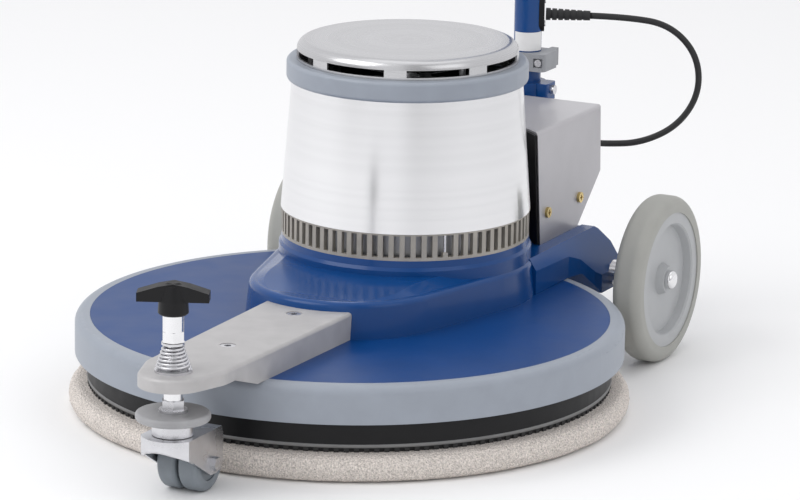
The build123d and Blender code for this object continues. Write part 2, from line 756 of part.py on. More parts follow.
with BuildPart() as rotor_core:
    with BuildSketch(turned_plane(MOTOR_Y)):
        with Locations(((SHAFT_R + STATOR_R - AIR_GAP) / 2, STATOR_Z + STATOR_H / 2)):
            Rectangle(STATOR_R - AIR_GAP - SHAFT_R, STATOR_H)
        for ring_z in (STATOR_Z - 3, STATOR_Z + STATOR_H + 3):
            with Locations((STATOR_R - 12, ring_z)):
                Rectangle(16, 6)
    revolve(axis=MOTOR_AXIS)
save(rotor_core, "rotor_core")

with BuildPart() as cooling_fan:
    with BuildSketch(turned_plane(MOTOR_Y)):
        with Locations(((SHAFT_R + FAN_R) / 2, FAN_Z + 1.25)):
            Rectangle(FAN_R - SHAFT_R, 2.5)
        with Locations((SHAFT_R + 5, FAN_Z + FAN_H / 2)):
            Rectangle(10, FAN_H)
    revolve(axis=MOTOR_AXIS)
    with BuildSketch(Plane.XY.offset(FAN_Z + 2)):
        with Locations((0, MOTOR_Y)):
            with PolarLocations((SHAFT_R + 8 + FAN_R) / 2, FAN_BLADES):
                Rectangle(FAN_R - SHAFT_R - 8, 2.5)
    extrude(amount=FAN_H - 4)
save(cooling_fan, "cooling_fan")

# ================================================================ front arm
ARM_REAR_TAPER = (ARM_TOP_Z - DECK_TOP_Z) * math.tan(math.radians(WALL_DRAFT))

with BuildPart() as front_arm:
    with BuildSketch(Plane.XY.offset(ARM_TOP_Z)):
        with Locations((0, ARM_END_Y)):
            Circle(ARM_END_R)
        with Locations((-ARM_SHOULDER_X, ARM_SHOULDER_Y), (ARM_SHOULDER_X, ARM_SHOULDER_Y)):
            Circle(ARM_SHOULDER_R)
        with Locations((0, ARM_REAR_Y + 20)):
            Rectangle(2 * ARM_HALF_W, 40)
        make_hull()
    extrude(amount=-(ARM_TOP_Z - DECK_TOP_Z))
    fillet(front_arm.edges().group_by(Axis.Z)[-1], 3.5)
    # underside steps up past the bumper
    with BuildSketch(Plane.YZ.offset(-2 * ARM_HALF_W)):
        with BuildLine():
            Polyline(
                (ARM_END_Y - 2 * ARM_END_R, DECK_TOP_Z - 5),
                (ARM_STEP_Y, DECK_TOP_Z - 5),
                (ARM_STEP_Y, DECK_TOP_Z),
                (ARM_THIN_Y, ARM_END_Z),
                (ARM_END_Y - 2 * ARM_END_R, ARM_END_Z),
                close=True,
            )
        make_face()
    extrude(amount=4 * ARM_HALF_W, mode=Mode.SUBTRACT)
    # rear edge hugs the nose of the casting
    with Locations((0, 0, DECK_TOP_Z)):
        Cone(
            NOSE_R + SEAT,
            NOSE_R + SEAT - ARM_REAR_TAPER,
            ARM_TOP_Z - DECK_TOP_Z,
            align=(Align.CENTER, Align.CENTER, Align.MIN),
            mode=Mode.SUBTRACT,
        )
    # hollow underside
    with BuildSketch(Plane.XY.offset(DECK_TOP_Z)):
        with Locations((0, -150)):
            Rectangle(2 * ARM_HALF_W - 24, 62)
        with Locations((0, -198)):
            Rectangle(2 * ARM_HALF_W - 34, 24)
    extrude(amount=16, mode=Mode.SUBTRACT)
    with Locations((0, ARM_END_Y, ARM_TOP_Z)):
        Hole(SCREW_R + RUN, depth=ARM_TOP_Z - ARM_END_Z)
    with Locations(*[(0, y, ARM_TOP_Z) for y in ARM_SCREW_YS]):
        CounterBoreHole(ARM_SCREW_R, ARM_SCREW_HEAD_R + SEAT, 6, depth=ARM_TOP_Z - DECK_TOP_Z)
save(front_arm, "front_arm")

with BuildPart() as arm_screws:
    for screw_y in ARM_SCREW_YS:
        with Locations((0, screw_y, ARM_TOP_Z - 6)):
            Cylinder(ARM_SCREW_HEAD_R, 5.5, align=(Align.CENTER, Align.CENTER, Align.MIN))
        with Locations((0, screw_y, DECK_TOP_Z - DECK_T)):
            Cylinder(
                ARM_SCREW_R,
                ARM_TOP_Z - 6 - DECK_TOP_Z + DECK_T,
                align=(Align.CENTER, Align.CENTER, Align.MIN),
            )
        with BuildSketch(Plane.XY.offset(ARM_TOP_Z - 0.5)):
            with Locations((0, screw_y)):
                RegularPolygon(3.4, 6)
        extrude(amount=-3, mode=Mode.SUBTRACT)
save(arm_screws, "arm_screws")

# ================================================================ caster
with BuildPart() as arm_washer:
    with Locations((0, ARM_END_Y, ARM_TOP_Z)):
        Cylinder(WASHER_R, WASHER_T, align=(Align.CENTER, Align.CENTER, Align.MIN))
        Hole(SCREW_R + 1, depth=2 * WASHER_T)
save(arm_washer, "arm_washer")

with BuildPart() as spring_seat:
    with Locations((0, ARM_END_Y, SPRING_TOP_Z)):
        Cylinder(SLEEVE_R + 1, SPRING_SEAT_T, align=(Align.CENTER, Align.CENTER, Align.MIN))
        Cylinder(
            SCREW_NECK_R + 0.3,
            SPRING_SEAT_T,
            align=(Align.CENTER, Align.CENTER, Align.MIN),
            mode=Mode.SUBTRACT,
        )
save(spring_seat, "spring_seat")

SPRING_Z = ARM_TOP_Z + WASHER_T
SPRING_H = SPRING_TOP_Z - SPRING_Z - 2 * SPRING_WIRE_R

SPRING_STEPS = 8  # points of the wire's line in each turn


def spring_point(step):
    """Point of the wire's centre line, which climbs and closes in towards the top."""
    share = step / (SPRING_TURNS * SPRING_STEPS)
    angle = 2 * math.pi * step / SPRING_STEPS
    radius = SPRING_BOTTOM_R + (SPRING_TOP_R - SPRING_BOTTOM_R) * share
    return (
        radius * math.cos(angle),
        ARM_END_Y + radius * math.sin(angle),
        SPRING_Z + SPRING_WIRE_R + SPRING_H * share,
    )


with BuildPart() as caster_spring:
    with BuildLine():
        coil = Spline(*[spring_point(n) for n in range(int(SPRING_TURNS * SPRING_STEPS) + 1)])
    with BuildSketch(Plane(origin=coil @ 0, z_dir=coil % 0)):
        RegularPolygon(SPRING_WIRE_R, 12)
    sweep(path=coil, is_frenet=True)
save(caster_spring, "caster_spring")

with BuildPart() as t_knob:
    with BuildSketch(turned_plane(ARM_END_Y)):
        with BuildLine():
            Polyline(
                (0, KNOB_Z),
                (KNOB_STEM_R - 1.5, KNOB_Z),
                (KNOB_STEM_R, KNOB_Z + 1.5),
                (KNOB_STEM_R - 0.5, KNOB_ARM_Z),
                (KNOB_STEM_R - 3.5, KNOB_TOP_Z - 2.5),
                (5, KNOB_TOP_Z),
                (0, KNOB_TOP_Z),
                close=True,
            )
        make_face()
    revolve(axis=CASTER_AXIS)
    knob_x = (math.cos(math.radians(KNOB_TURN)), math.sin(math.radians(KNOB_TURN)), 0)
    knob_n = (knob_x[1], -knob_x[0], 0)
    with BuildSketch(Plane(origin=(0, ARM_END_Y, 0), x_dir=knob_x, z_dir=knob_n)):
        with BuildLine():
            Polyline(
                (-KNOB_HALF_L, KNOB_ARM_Z),
                (KNOB_HALF_L, KNOB_ARM_Z),
                (KNOB_HALF_L, KNOB_ARM_Z + 7.5),
                (KNOB_STEM_R, KNOB_TOP_Z - 2.5),
                (0, KNOB_TOP_Z),
                (-KNOB_STEM_R, KNOB_TOP_Z - 2.5),
                (-KNOB_HALF_L, KNOB_ARM_Z + 7.5),
                close=True,
            )
        knob_bar = make_face()
        fillet(knob_bar.vertices().filter_by_position(Axis.Z, KNOB_ARM_Z - 1, KNOB_TOP_Z - 3), 2.5)
    extrude(amount=KNOB_HALF_T, both=True)
save(t_knob, "t_knob")

with BuildPart() as adjuster_screw:
    with BuildSketch(turned_plane(ARM_END_Y)):
        with BuildLine():
            Polyline(
                (0, DISC_TOP_Z - DISC_T),
                (SCREW_R, DISC_TOP_Z - DISC_T),
                (SCREW_R, ARM_TOP_Z + 1),
                (SCREW_NECK_R, ARM_TOP_Z + 3),
                (SCREW_NECK_R, SPRING_TOP_Z + SPRING_SEAT_T + MOVE),
                (SLEEVE_R, SPRING_TOP_Z + SPRING_SEAT_T + MOVE),
                (SLEEVE_R, KNOB_Z),
                (0, KNOB_Z),
                close=True,
            )
        make_face()
    revolve(axis=CASTER_AXIS)
    with BuildSketch(Plane.XY.offset(SPRING_TOP_Z + SPRING_SEAT_T + MOVE)):
        with Locations((0, ARM_END_Y)):
            RegularPolygon(HEX_AF / 2, 6, major_radius=False)
    extrude(amount=HEX_TOP_Z - SPRING_TOP_Z - SPRING_SEAT_T - MOVE)
save(adjuster_screw, "adjuster_screw")

with BuildPart() as lock_nut:
    with BuildSketch(Plane.XY.offset(NUT_TOP_Z)):
        with Locations((0, ARM_END_Y)):
            RegularPolygon(NUT_AF / 2, 6, major_radius=False)
    extrude(amount=-NUT_H)
    with BuildSketch(Plane.XY.offset(NUT_TOP_Z - NUT_H)):
        with Locations((0, ARM_END_Y)):
            Circle(NUT_WASHER_R)
    extrude(amount=DISC_TOP_Z - NUT_TOP_Z + NUT_H)
    with BuildSketch(Plane.XY.offset(DISC_TOP_Z)):
        with Locations((0, ARM_END_Y)):
            Circle(SCREW_R)
    extrude(amount=NUT_TOP_Z - DISC_TOP_Z, mode=Mode.SUBTRACT)
save(lock_nut, "lock_nut")

with BuildPart() as buffer_disc:
    with BuildSketch(turned_plane(ARM_END_Y)):
        with Locations(((SCREW_R + DISC_R) / 2, DISC_TOP_Z - DISC_T / 2)):
            disc_section = Rectangle(DISC_R - SCREW_R, DISC_T)
        fillet(disc_section.vertices().group_by(Axis.X)[-1], 2.8)
    revolve(axis=CASTER_AXIS)
save(buffer_disc, "buffer_disc")

KINGPIN_R = 6.0
KINGPIN_FLANGE_R = 9.0
FORK_TOP_Z = HEAD_Z - MOVE

with BuildPart() as swivel_head:
    with BuildSketch(turned_plane(ARM_END_Y)):
        with BuildLine():
            Polyline(
                (0, DISC_TOP_Z - DISC_T),
                (HEAD_R - 1, DISC_TOP_Z - DISC_T),
                (HEAD_R, DISC_TOP_Z - DISC_T - 1),
                (HEAD_R, HEAD_Z),
                (KINGPIN_R, HEAD_Z),
                (KINGPIN_R, FORK_TOP_Z - FORK_T - MOVE),
                (KINGPIN_FLANGE_R, FORK_TOP_Z - FORK_T - MOVE),
                (KINGPIN_FLANGE_R, FORK_TOP_Z - FORK_T - MOVE - 2),
                (0, FORK_TOP_Z - FORK_T - MOVE - 2),
                close=True,
            )
        make_face()
    revolve(axis=CASTER_AXIS)
save(swivel_head, "swivel_head")

with BuildPart() as caster_fork:
    # folded sheet: a top plate, a front wall and two cheeks
    with BuildSketch(Plane.YZ.offset(-FORK_HALF_W)):
        with BuildLine():
            Polyline(
                (ARM_END_Y - FORK_PLATE_R, FORK_TOP_Z),
                (ARM_END_Y - FORK_PLATE_R, FORK_TOP_Z - 9),
                (ARM_END_Y - FORK_PLATE_R + 5, 42),
                (CASTER_Y - 5, CASTER_WHEEL_R - 9),
                (CASTER_Y + 5, CASTER_WHEEL_R - 9.5),
                (CASTER_Y + 15, CASTER_WHEEL_R - 4),
                (CASTER_Y + 17, 46),
                (CASTER_Y + 14, FORK_TOP_Z),
                close=True,
            )
        make_face()
    extrude(amount=2 * FORK_HALF_W)
    with BuildSketch(Plane.XY):
        with Locations((0, ARM_END_Y)):
            Circle(FORK_PLATE_R)
        with Locations((0, CASTER_Y)):
            Rectangle(2 * FORK_HALF_W, 50)
    extrude(amount=FORK_TOP_Z, mode=Mode.INTERSECT)
    with BuildSketch(Plane.XY):
        with Locations((0, ARM_END_Y)):
            Circle(FORK_PLATE_R - FORK_T)
        with Locations((0, CASTER_Y)):
            Rectangle(2 * FORK_HALF_W, 60)
    extrude(amount=FORK_TOP_Z - FORK_T, mode=Mode.SUBTRACT)
    for side in (1, -1):
        with BuildSketch(Plane.YZ.offset(side * FORK_HALF_W)):
            with BuildLine():
                Polyline(
                    (ARM_END_Y - 14, FORK_TOP_Z),
                    (ARM_END_Y - 14, 39),
                    (CASTER_Y - 5, CASTER_WHEEL_R - 9),
                    (CASTER_Y + 5, CASTER_WHEEL_R - 9.5),
                    (CASTER_Y + 15, CASTER_WHEEL_R - 4),
                    (CASTER_Y + 17, 46),
                    (CASTER_Y + 14, FORK_TOP_Z),
                    close=True,
                )
            make_face()
            with Locations((CASTER_Y, CASTER_WHEEL_R)):
                Circle(CASTER_AXLE_R, mode=Mode.SUBTRACT)
        extrude(amount=-side * FORK_T)
    with Locations((0, ARM_END_Y, FORK_TOP_Z)):
        Hole(KINGPIN_R + RUN, depth=FORK_T)
save(caster_fork, "caster_fork")

with BuildPart() as caster_axle_bolt:
    with Locations(Location((0, CASTER_Y, CASTER_WHEEL_R), (0, 90, 0))):
        Cylinder(CASTER_AXLE_R, 2 * FORK_HALF_W)
    for side in (1, -1):
        with BuildSketch(Plane.YZ.offset(side * FORK_HALF_W)):
            with Locations((CASTER_Y, CASTER_WHEEL_R)):
                RegularPolygon(5.5, 6, major_radius=False)
        extrude(amount=side * 4.5)
save(caster_axle_bolt, "caster_axle_bolt")


def caster_wheel(side):
    """One of the twin wheels: a rounded tread with a recessed hub on its outer face."""
    inner = CASTER_WHEEL_GAP
    face = CASTER_WHEEL_GAP + CASTER_WHEEL_W
    with BuildPart() as wheel:
        with BuildSketch(wheel_plane(side, CASTER_Y, CASTER_WHEEL_R)):
            with Locations(((inner + face) / 2, CASTER_WHEEL_R / 2)):
                tread = Rectangle(CASTER_WHEEL_W, CASTER_WHEEL_R)
            fillet(tread.vertices().group_by(Axis.Y)[-1], 4)
            with Locations((face, (CASTER_HUB_R + 8) / 2)):
                Rectangle(3, CASTER_HUB_R - 8, mode=Mode.SUBTRACT)
            with Locations(((inner + face) / 2, 0)):
                Rectangle(CASTER_WHEEL_W + 2, 2 * (CASTER_AXLE_R + RUN), mode=Mode.SUBTRACT)
        revolve(axis=FORK_AXIS)
    return wheel


caster_wheel_left = caster_wheel(-1)
save(caster_wheel_left, "caster_wheel_left")

caster_wheel_right = caster_wheel(1)
save(caster_wheel_right, "caster_wheel_right")

# ================================================================ rear wheels
TYRE_INNER_X = WHEEL_FACE_X - TYRE_W


def rear_tyre(side):
    """Solid tyre with rounded shoulders."""
    with BuildPart() as tyre:
        with BuildSketch(wheel_plane(side, AXLE_Y, AXLE_Z)):
            with Locations(((TYRE_INNER_X + WHEEL_FACE_X) / 2, (RIM_R + WHEEL_R) / 2)):
                section = Rectangle(TYRE_W, WHEEL_R - RIM_R)
            fillet(section.vertices().group_by(Axis.Y)[-1], TYRE_ROUND)
        revolve(axis=WHEEL_AXIS)
    return tyre


def rear_rim(side):
    """Dished rim with a raised lip and a through hub that turns on the axle."""
    lip_x = WHEEL_FACE_X - RIM_FACE_INSET
    hub_x = WHEEL_FACE_X - 3
    with BuildPart() as rim:
        with BuildSketch(wheel_plane(side, AXLE_Y, AXLE_Z)):
            with BuildLine():
                Polyline(
                    (TYRE_INNER_X + 1, RIM_R),
                    (lip_x, RIM_R),
                    (lip_x, RIM_LIP_R + 1.5),
                    (lip_x - 1.5, RIM_LIP_R),
                    (lip_x - 8, RIM_LIP_R - 2),
                    (lip_x - 8, RIM_LIP_R - 10),
                    (hub_x - 7, HUB_R + 3),
                    (hub_x, HUB_R),
                    (hub_x, AXLE_R + RUN),
                    (HUB_INNER_X, AXLE_R + RUN),
                    (HUB_INNER_X, HUB_R + 2),
                    (hub_x - 16, HUB_R + 4),
                    (lip_x - 14, RIM_LIP_R - 8),
                    (TYRE_INNER_X + 4, RIM_LIP_R + 3),
                    (TYRE_INNER_X + 1, RIM_LIP_R + 5),
                    close=True,
                )
            make_face()
        revolve(axis=WHEEL_AXIS)
    return rim


rear_tyre_left = rear_tyre(-1)
save(rear_tyre_left, "rear_tyre_left")

rear_tyre_right = rear_tyre(1)
save(rear_tyre_right, "rear_tyre_right")

rear_rim_left = rear_rim(-1)
save(rear_rim_left, "rear_rim_left")

rear_rim_right = rear_rim(1)
save(rear_rim_right, "rear_rim_right")

with BuildPart() as wheel_axle:
    with Locations(Location((0, AXLE_Y, AXLE_Z), (0, 90, 0))):
        Cylinder(AXLE_R, 2 * (WHEEL_FACE_X - 1))
    for side in (1, -1):
        with BuildSketch(Plane.YZ.offset(side * LUG_FACE_X)):
            with Locations((AXLE_Y, AXLE_Z)):
                Circle(AXLE_COLLAR_R)
        extrude(amount=side * (HUB_INNER_X - MOVE - LUG_FACE_X))
        # rounded cap that keeps the wheel on
        with BuildSketch(Plane.YZ.offset(side * (WHEEL_FACE_X - 2.5))):
            with Locations((AXLE_Y, AXLE_Z)):
                Circle(AXLE_CAP_R)
        extrude(amount=side * AXLE_CAP_H)
    fillet(wheel_axle.faces().sort_by(Axis.X)[-1].edges(), AXLE_CAP_ROUND)
    fillet(wheel_axle.faces().sort_by(Axis.X)[0].edges(), AXLE_CAP_ROUND)
save(wheel_axle, "wheel_axle")

# ================================================================ electrics cover
COVER_PROFILE = (
    (MOTOR_Y + 60, PLATFORM_TOP_Z),
    (COVER_CHIN_Y, PLATFORM_TOP_Z),
    (COVER_REAR_Y + 3, COVER_CHIN_Z),
    (COVER_REAR_Y, COVER_TOP_Z),
    (MOTOR_Y + 60, COVER_TOP_Z),
)
COVER_H = COVER_TOP_Z - PLATFORM_TOP_Z
COVER_FRONT_LOW_R = COVER_FRONT_R + 8.0

with BuildPart() as electrics_cover:
    with BuildSketch(Plane.YZ.offset(-COVER_HALF_W)) as cover_side:
        with BuildLine():
            Polyline(*COVER_PROFILE, close=True)
        cover_face = make_face()
        rear_corners = cover_face.vertices().filter_by_position(
            Axis.Y, COVER_REAR_Y - 1, COVER_REAR_Y + 4
        )
        fillet(rear_corners, COVER_BEND)
    extrude(amount=2 * COVER_HALF_W)
    side_edges = electrics_cover.faces().sort_by(Axis.X)[0].edges()
    side_edges += electrics_cover.faces().sort_by(Axis.X)[-1].edges()
    bend_edges = side_edges.filter_by(
        lambda e: e.center().Y > COVER_CHIN_Y - 2 or e.center().Z > COVER_TOP_Z - 1
    )
    fillet(bend_edges, 4.0)
    with Locations((0, MOTOR_Y, PLATFORM_TOP_Z)):
        Cone(
            COVER_FRONT_LOW_R,
            COVER_FRONT_R,
            COVER_H,
            align=(Align.CENTER, Align.CENTER, Align.MIN),
            mode=Mode.SUBTRACT,
        )
    # hollow inside, open at the bottom and the front
    with BuildSketch(Plane.YZ.offset(-COVER_HALF_W + COVER_T)):
        with BuildLine():
            Polyline(
                (MOTOR_Y, PLATFORM_TOP_Z),
                (COVER_CHIN_Y - 2 * COVER_T, PLATFORM_TOP_Z),
                (COVER_REAR_Y + 3 - COVER_T - 0.6, COVER_CHIN_Z + 1),
                (COVER_REAR_Y - COVER_T, COVER_TOP_Z - COVER_T),
                (MOTOR_Y, COVER_TOP_Z - COVER_T),
                close=True,
            )
        inner_face = make_face()
        inner_corners = inner_face.vertices().filter_by_position(
            Axis.Y, COVER_REAR_Y - 2 * COVER_T, COVER_REAR_Y + 4
        )
        fillet(inner_corners, COVER_BEND - COVER_T)
    extrude(amount=2 * (COVER_HALF_W - COVER_T), mode=Mode.SUBTRACT)
save(electrics_cover, "electrics_cover")

with BuildPart() as cover_edge_seal:
    with Locations((0, MOTOR_Y, PLATFORM_TOP_Z)):
        Cone(
            COVER_FRONT_LOW_R + 1,
            COVER_FRONT_R + 1,
            COVER_H - COVER_T,
            align=(Align.CENTER, Align.CENTER, Align.MIN),
        )
        Cone(
            COVER_FRONT_LOW_R + 1 - SEAL_T,
            COVER_FRONT_R + 1 - SEAL_T,
            COVER_H - COVER_T,
            align=(Align.CENTER, Align.CENTER, Align.MIN),
            mode=Mode.SUBTRACT,
        )
    with Locations((0, MOTOR_Y + 130, PLATFORM_TOP_Z)):
        Box(
            2 * (COVER_HALF_W - COVER_T),
            130,
            COVER_H,
            align=(Align.CENTER, Align.CENTER, Align.MIN),
            mode=Mode.INTERSECT,
        )
save(cover_edge_seal, "cover_edge_seal")

COVER_SCREW_AT = ((225.0, 142.0), (297.0, 141.6))

with BuildPart() as cover_screws:
    for side in (1, -1):
        with BuildSketch(Plane.YZ.offset(side * COVER_HALF_W)):
            with Locations(*COVER_SCREW_AT):
                Circle(COVER_SCREW_R)
        extrude(amount=side * 2.6)
        with BuildSketch(Plane.YZ.offset(side * (COVER_HALF_W + 2.6))):
            with Locations(*COVER_SCREW_AT):
                Rectangle(5.5, 1.4)
                Rectangle(1.4, 5.5)
        extrude(amount=-side * 1.6, mode=Mode.SUBTRACT)
save(cover_screws, "cover_screws")

with BuildPart() as run_capacitor:
    with Locations(Location((0, COVER_CHIN_Y - 28, PLATFORM_TOP_Z + 20), (0, 90, 0))):
        Cylinder(20, 100)
        Cylinder(4, 108)
    # feet that rest on the platform
    with Locations((-35, COVER_CHIN_Y - 28, PLATFORM_TOP_Z), (35, COVER_CHIN_Y - 28, PLATFORM_TOP_Z)):
        Box(8, 34, 12, align=(Align.CENTER, Align.CENTER, Align.MIN))
save(run_capacitor, "run_capacitor")

# ================================================================ handle hinge and tube
with BuildPart() as hinge_pin:
    with Locations(Location((0, TUBE_Y, HINGE_Z), (0, 90, 0))):
        Cylinder(HINGE_PIN_R, 2 * (HINGE_LUG_HALF + MOVE + CHEEK_T + 1))
    for side in (1, -1):
        with BuildSketch(Plane.YZ.offset(side * (HINGE_LUG_HALF + 2 * MOVE + CHEEK_T))):
            with Locations((TUBE_Y, HINGE_Z)):
                RegularPolygon(8, 6, major_radius=False)
        extrude(amount=side * 5)
save(hinge_pin, "hinge_pin")

CHEEK_X = HINGE_LUG_HALF + MOVE
CHEEK_ROUND_R = HINGE_BOSS_R - 1

with BuildPart() as handle_socket:
    for side in (1, -1):
        with BuildSketch(Plane.YZ.offset(side * CHEEK_X)):
            with Locations((TUBE_Y, HINGE_Z)):
                Circle(CHEEK_ROUND_R)
            with Locations((TUBE_Y, (HINGE_Z + SOCKET_Z + 6) / 2)):
                Rectangle(2 * CHEEK_ROUND_R, SOCKET_Z + 6 - HINGE_Z)
            with Locations((TUBE_Y, HINGE_Z)):
                Circle(HINGE_PIN_R + RUN, mode=Mode.SUBTRACT)
        extrude(amount=side * CHEEK_T)
    with BuildSketch(Plane.XY.offset(SOCKET_Z)):
        with Locations((0, TUBE_Y)):
            RectangleRounded(2 * (CHEEK_X + CHEEK_T), 2 * CHEEK_ROUND_R, 6)
    extrude(amount=14)
    with BuildSketch(Plane.XY.offset(SOCKET_Z)):
        with Locations((0, TUBE_Y)):
            Circle(SOCKET_R - 1)
    extrude(amount=COLLAR_TOP_Z - SOCKET_Z)
    with BuildSketch(Plane.XY.offset(COLLAR_Z)):
        with Locations((0, TUBE_Y)):
            Circle(SOCKET_R)
        with Locations((20, TUBE_Y)):
            RectangleRounded(12, 22, 3)
    extrude(amount=COLLAR_TOP_Z - COLLAR_Z)
    with BuildSketch(Plane.XY.offset(TUBE_BOTTOM_Z)):
        with Locations((0, TUBE_Y)):
            Circle(TUBE_R)
    extrude(amount=COLLAR_TOP_Z - TUBE_BOTTOM_Z, mode=Mode.SUBTRACT)
save(handle_socket, "handle_socket")

with BuildPart() as handle_tube:
    with BuildSketch(Plane.XY.offset(TUBE_BOTTOM_Z)):
        with Locations((0, TUBE_Y)):
            Circle(TUBE_R)
            Circle(TUBE_R - TUBE_T, mode=Mode.SUBTRACT)
    extrude(amount=TUBE_TOP_Z - TUBE_BOTTOM_Z)
save(handle_tube, "handle_tube")

with BuildPart() as label_plate:
    with BuildSketch(Plane.XY.offset(LABEL_Z)):
        with BuildLine():
            label_in = CenterArc((0, TUBE_Y), TUBE_R, LABEL_AT - LABEL_SPAN / 2, LABEL_SPAN)
            label_out = CenterArc(
                (0, TUBE_Y), TUBE_R + LABEL_T, LABEL_AT - LABEL_SPAN / 2, LABEL_SPAN
            )
            Line(label_in @ 0, label_out @ 0)
            Line(label_in @ 1, label_out @ 1)
        make_face()
    extrude(amount=LABEL_H)
save(label_plate, "label_plate")

HOOK_SCREW_X = 18.5
HOOK_ARM_Y = TUBE_Y + TUBE_R + 4

with BuildPart() as hook_bracket:
    with BuildSketch(Plane.XY.offset(HOOK_Z)):
        with Locations((0, (HOOK_FRONT_Y + HOOK_ARM_Y) / 2)):
            clamp_body = Rectangle(2 * HOOK_HALF_W, HOOK_ARM_Y - HOOK_FRONT_Y)
        fillet(clamp_body.vertices(), 6)
        with Locations((0, (HOOK_ARM_Y + HOOK_REAR_Y) / 2 - 2)):
            Rectangle(2 * HOOK_HALF_W - 8, HOOK_REAR_Y - HOOK_ARM_Y + 4)
        with Locations((0, HOOK_REAR_Y - 3)):
            Rectangle(2 * HOOK_HALF_W - 22, 10, mode=Mode.SUBTRACT)
        with Locations((0, TUBE_Y)):
            Circle(TUBE_R, mode=Mode.SUBTRACT)
    extrude(amount=HOOK_TOP_Z - HOOK_Z - 1.5)
    for side in (1, -1):
        with Locations((side * HOOK_SCREW_X, HOOK_FRONT_Y, (HOOK_Z + HOOK_TOP_Z - 1.5) / 2)):
            Box(9, 6, 9, mode=Mode.SUBTRACT)
save(hook_bracket, "hook_bracket")

OUT_X = math.cos(math.radians(SIDE_TURN))
OUT_Y = math.sin(math.radians(SIDE_TURN))


def on_outlet(reach, z):
    """Point at a distance from the tube's axis, straight out of the cord outlet."""
    return (OUT_X * reach, TUBE_Y + OUT_Y * reach, z)


OUTLET_PLANE = Plane(
    origin=on_outlet(OUTLET_FACE, OUTLET_Z),
    x_dir=(-OUT_Y, OUT_X, 0),
    z_dir=(OUT_X, OUT_Y, 0),
)

with BuildPart() as gland_plate:
    with BuildSketch(OUTLET_PLANE):
        SlotOverall(2 * OUTLET_HALF_H, 2 * OUTLET_HALF_W, rotation=90)
    extrude(amount=-OUTLET_FACE)
    with BuildSketch(Plane.XY.offset(OUTLET_Z - OUTLET_HALF_H - 1)):
        with Locations((0, TUBE_Y)):
            Circle(TUBE_R)
    extrude(amount=2 * OUTLET_HALF_H + 2, mode=Mode.SUBTRACT)
save(gland_plate, "gland_plate")

RELIEF_DROP = 1.2
RELIEF_AXIS_DIR = (OUT_X * RELIEF_L, OUT_Y * RELIEF_L, -RELIEF_DROP)
RELIEF_ROOT = on_outlet(OUTLET_FACE, OUTLET_Z - 2.0)
RELIEF_TIP = on_outlet(OUTLET_FACE + RELIEF_L, OUTLET_Z - 2.0 - RELIEF_DROP)

with BuildPart() as bend_relief:
    relief_plane = Plane(origin=RELIEF_ROOT, z_dir=RELIEF_AXIS_DIR)
    relief_length = math.hypot(RELIEF_L, RELIEF_DROP)
    with BuildSketch(relief_plane) as relief_root:
        Circle(RELIEF_R)
    with BuildSketch(relief_plane.offset(relief_length)) as relief_end:
        Circle(RELIEF_TIP_R)
    loft(sections=[relief_root.sketch, relief_end.sketch])
    # flexing grooves
    for groove in range(6):
        at = 6.0 + groove * 6.0
        with BuildSketch(relief_plane.offset(at)):
            Circle(RELIEF_R + 1)
            Circle(RELIEF_TIP_R - 0.4, mode=Mode.SUBTRACT)
        extrude(amount=1.6, mode=Mode.SUBTRACT)
save(bend_relief, "bend_relief")

OUTLET_SCREW_OFF = 11.3

with BuildPart() as handle_screws:
    # screws of the hook bracket
    for side in (1, -1):
        with Locations(
            Location((side * HOOK_SCREW_X, HOOK_FRONT_Y + 3, (HOOK_Z + HOOK_TOP_Z - 1.5) / 2), (90, 0, 0))
        ):
            Cylinder(3.6, 2.4, align=(Align.CENTER, Align.CENTER, Align.MIN))
    # screws of the cord outlet
    with BuildSketch(OUTLET_PLANE):
        with Locations((0, OUTLET_SCREW_OFF), (0, -OUTLET_SCREW_OFF)):
            Circle(3.0)
    extrude(amount=1.2)
    # clamp bolt through the ear of the collar
    with Locations(Location((26, TUBE_Y, (COLLAR_Z + COLLAR_TOP_Z) / 2 + 2), (0, 90, 0))):
        Cylinder(4.5, 4, align=(Align.CENTER, Align.CENTER, Align.MIN))
save(handle_screws, "handle_screws")

# ================================================================ link cord and its gland
GLAND_OUT_Y = COVER_REAR_Y + 15.0
BOX_GLAND_AT = (BOX_GLAND_X, GLAND_OUT_Y, BOX_GLAND_Z)

with BuildPart() as cord_gland:
    with BuildSketch(Plane(origin=(BOX_GLAND_X, COVER_REAR_Y + 1.2, BOX_GLAND_Z), x_dir=(-1, 0, 0), z_dir=(0, 1, 0))):
        RegularPolygon(10, 6, major_radius=False)
    extrude(amount=8)
    with BuildSketch(Plane(origin=(BOX_GLAND_X, COVER_REAR_Y + 1.2, BOX_GLAND_Z), x_dir=(-1, 0, 0), z_dir=(0, 1, 0))):
        Circle(8)
    extrude(amount=GLAND_OUT_Y - COVER_REAR_Y - 1.2)
    fillet(cord_gland.faces().sort_by(Axis.Y)[-1].edges(), 2.5)
    add(electrics_cover.part, mode=Mode.SUBTRACT)
save(cord_gland, "cord_gland")

FIRST_RUN = 37.2

# The cord leaves the relief on the tube, hangs in an open loop and enters the gland.
CORD_POINTS = (
    RELIEF_TIP,
    on_outlet(OUTLET_FACE + RELIEF_L + FIRST_RUN, RELIEF_TIP[2] - RELIEF_DROP * FIRST_RUN / RELIEF_L),
    (121.9, 429.3, 288.0),
    (146.1, 441.3, 260.0),
    (149.7, 443.0, 222.0),
    (131.8, 434.2, 189.0),
    (100.4, 418.7, 171.5),
    (68.1, 402.7, 170.0),
    (BOX_GLAND_X, GLAND_OUT_Y + 20.0, BOX_GLAND_Z),
    BOX_GLAND_AT,
)


